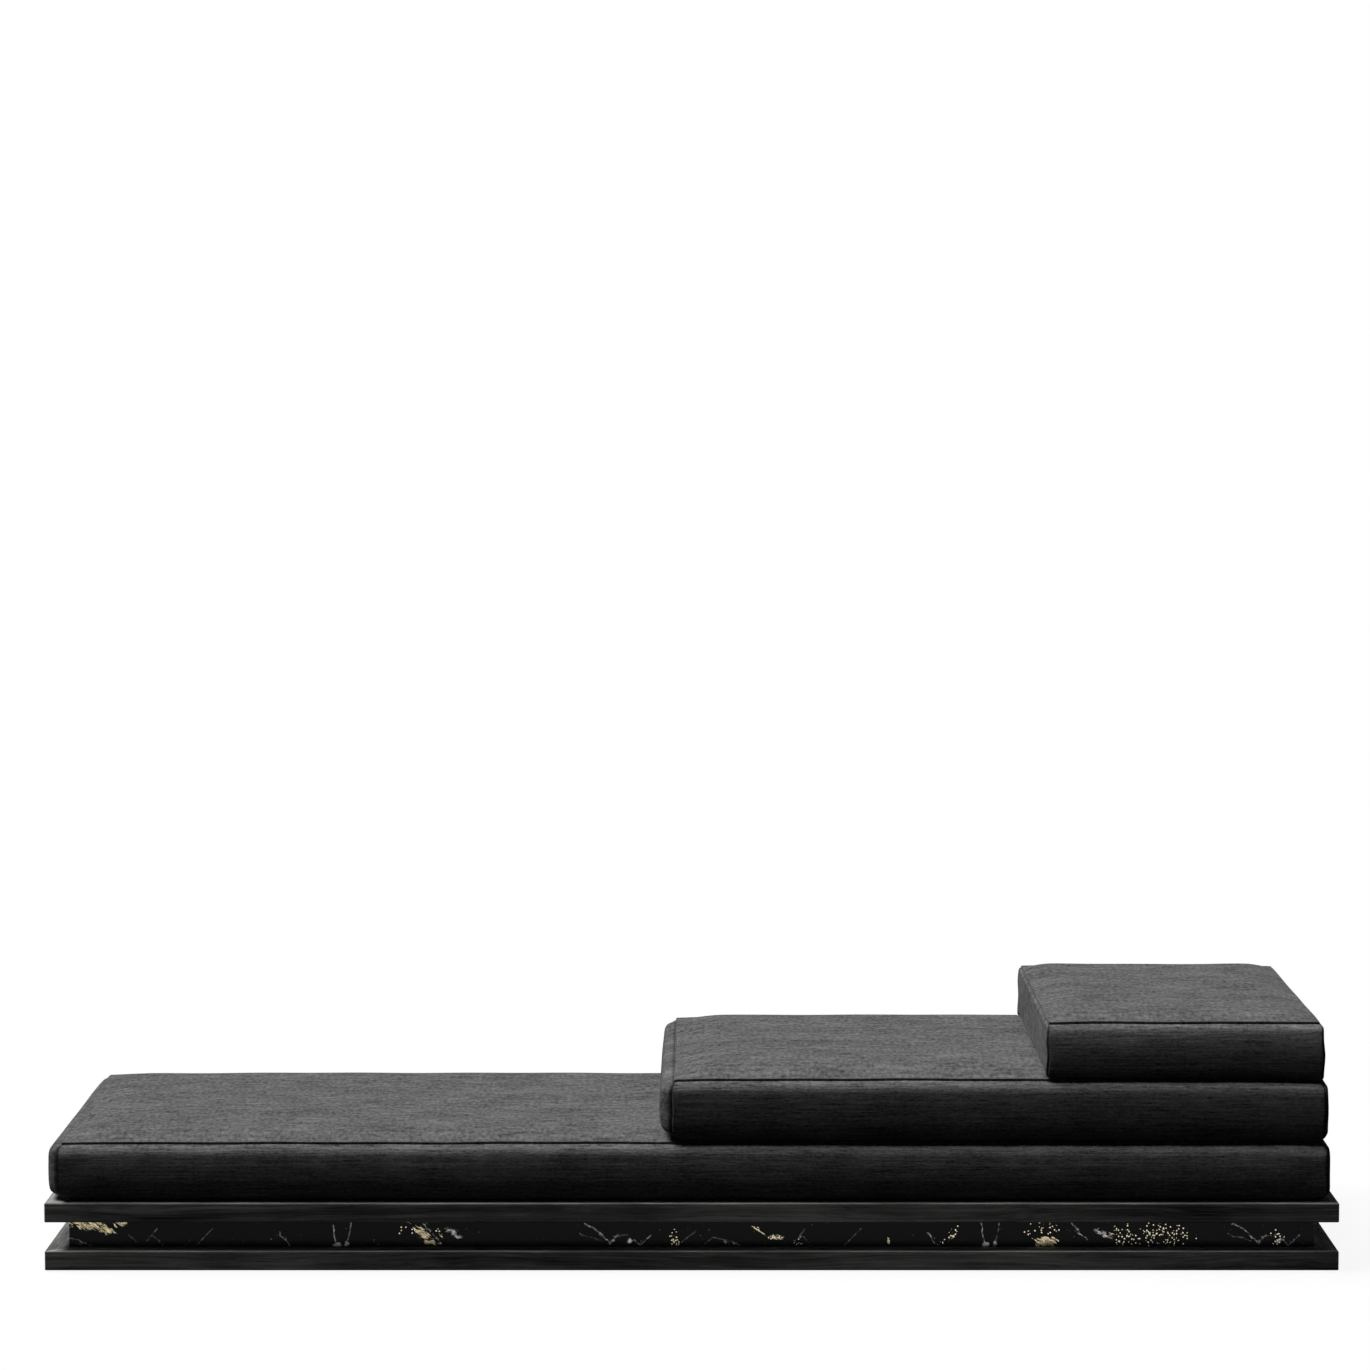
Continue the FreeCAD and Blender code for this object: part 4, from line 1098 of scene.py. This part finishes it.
def make_cushions(finishes):
    """The three cushions, each lying on the one below."""
    long = Pad(
        "long",
        inset=(0.0, -0.002, 0.0, 0.009),
        swell=(0.013, 0.009, 0.009, 0.023),
        shoulder=(0.016, 0.003, 0.008, 0.001),
        tuck=(0.013, 0.0, 0.008, 0.005),
        bottom_roll=(0.024, 0.018, 0.030, 0.026),
        top_roll=0.029, belly=0.03, rear_roll=0.012,
        sink=0.0042, crown=0.0140, crown_reach=0.10,
        corner_top=0.009, corner_bottom=0.018, corner_rear=0.007,
        plan_front=0.004, plan_rear=0.003, splay=0.011,
        drop_front=0.0020, drop_rear=0.0025, end_groove=0.0025,
        # strengths and reach of the painted shade by the seams and where the cushion rests
        end_crease=0.25, rest_crease=1.0, upright_crease=0.004,
    )
    middle = Pad(
        "middle",
        below=long,
        inset=(0.0, -0.006, 0.0, 0.009),
        swell=(0.004, 0.009, 0.009, 0.025),
        shoulder=(0.026, 0.003, 0.008, 0.0),
        tuck=(0.012, 0.0, 0.008, 0.014),
        bottom_roll=(0.028, 0.018, 0.030, 0.030),
        top_roll=0.022, belly=0.25, rear_roll=0.055,
        sink=0.0040, crown=0.0182, crown_reach=0.10,
        corner_top=0.010, corner_bottom=0.016, corner_rear=0.006,
        plan_front=0.004, plan_rear=0.004, splay=0.0,
        drop_front=0.0020, drop_rear=0.0020, end_groove=0.0025,
        # strengths and reach of the painted shade by the seams and where the cushion rests
        end_crease=0.9, rest_crease=0.7, upright_crease=0.004,
    )
    short = Pad(
        "short",
        below=middle,
        inset=(0.015, -0.0035, 0.0, 0.0),
        swell=(0.002, 0.003, 0.008, 0.004),
        shoulder=(0.038, 0.001, 0.002, 0.001),
        tuck=(0.003, 0.0, 0.004, 0.0),
        bottom_roll=(0.014, 0.008, 0.014, 0.006),
        top_roll=0.008, belly=0.48, rear_roll=None,
        sink=0.0072, crown=0.0130, crown_reach=0.06,
        corner_top=0.005, corner_bottom=0.003, corner_rear=0.003,
        plan_front=0.003, plan_rear=0.003, splay=0.0,
        drop_front=0.0008, drop_rear=0.0008, end_groove=0.0015,
        # strengths and reach of the painted shade by the seams and where the cushion rests
        end_crease=0.2, rest_crease=0.6, upright_crease=0.002,
    )
    for pad in (long, middle, short):
        make_cushion(pad, finishes)


# Stage

def make_floor():
    """Plain pale floor: white where it is seen, with the shadow of what stands on it."""
    half = FLOOR_SIZE / 2
    corners = np.array([(-half, -half, 0.0), (half, -half, 0.0), (half, half, 0.0), (-half, half, 0.0)])
    floor = make_mesh("floor", corners, [(0, 1, 2, 3)], corners[:, :2])
    material = bpy.data.materials.new("pale_floor")
    graph = Graph(material)
    glow = graph.node("Emission", {"Color": grey(1.0), "Strength": FLOOR_GLOW}).outputs[0]
    lit = graph.node("BsdfDiffuse", {"Color": grey(1 - FLOOR_GLOW)}).outputs[0]
    shown = graph.node("AddShader", {0: glow, 1: lit}).outputs[0]
    bounce = graph.node("BsdfDiffuse", {"Color": grey(FLOOR_BOUNCE)}).outputs[0]
    shader = graph.node("MixShader", {0: graph.seen(), 1: bounce, 2: shown}).outputs[0]
    graph.node("OutputMaterial", {"Surface": shader})
    floor.data.materials.append(material)


def make_world():
    """White surroundings where they are seen, and a weak fill light."""
    world = bpy.data.worlds.new("studio")
    graph = Graph(world)
    fill = graph.node("Background", {"Color": grey(1.0), "Strength": FILL_STRENGTH}).outputs[0]
    white = graph.node("Background", {"Color": grey(1.0), "Strength": 1.0}).outputs[0]
    shader = graph.node("MixShader", {0: graph.seen(), 1: fill, 2: white}).outputs[0]
    graph.node("OutputWorld", {"Surface": shader})
    bpy.context.scene.world = world


def make_light():
    """Wide soft light from above, a little from the left and from behind."""
    light = bpy.data.lights.new("overhead", "SUN")
    light.energy = SUN_STRENGTH
    light.angle = SUN_DISC
    lamp = add_object("overhead", light)
    lamp.rotation_euler = (-SUN_TILT_BACK, -SUN_TILT_LEFT, 0.0)


def make_camera():
    """Camera at the photograph's viewing angle."""
    data = bpy.data.cameras.new("camera")
    data.lens = CAMERA_LENS_MM
    data.sensor_width = CAMERA_SENSOR_MM
    data.shift_x = CAMERA_SHIFT_X
    data.clip_end = CAMERA_REACH
    camera = add_object("camera", data)
    camera.location = CAMERA_PLACE
    camera.rotation_euler = (math.pi / 2 - CAMERA_PITCH, 0.0, 0.0)
    bpy.context.scene.camera = camera


make_camera()
make_light()
make_world()
make_floor()
finishes = make_finishes()
dress_nodes(finishes)
make_cushions(finishes)
bpy.context.scene.view_settings.view_transform = "Standard"
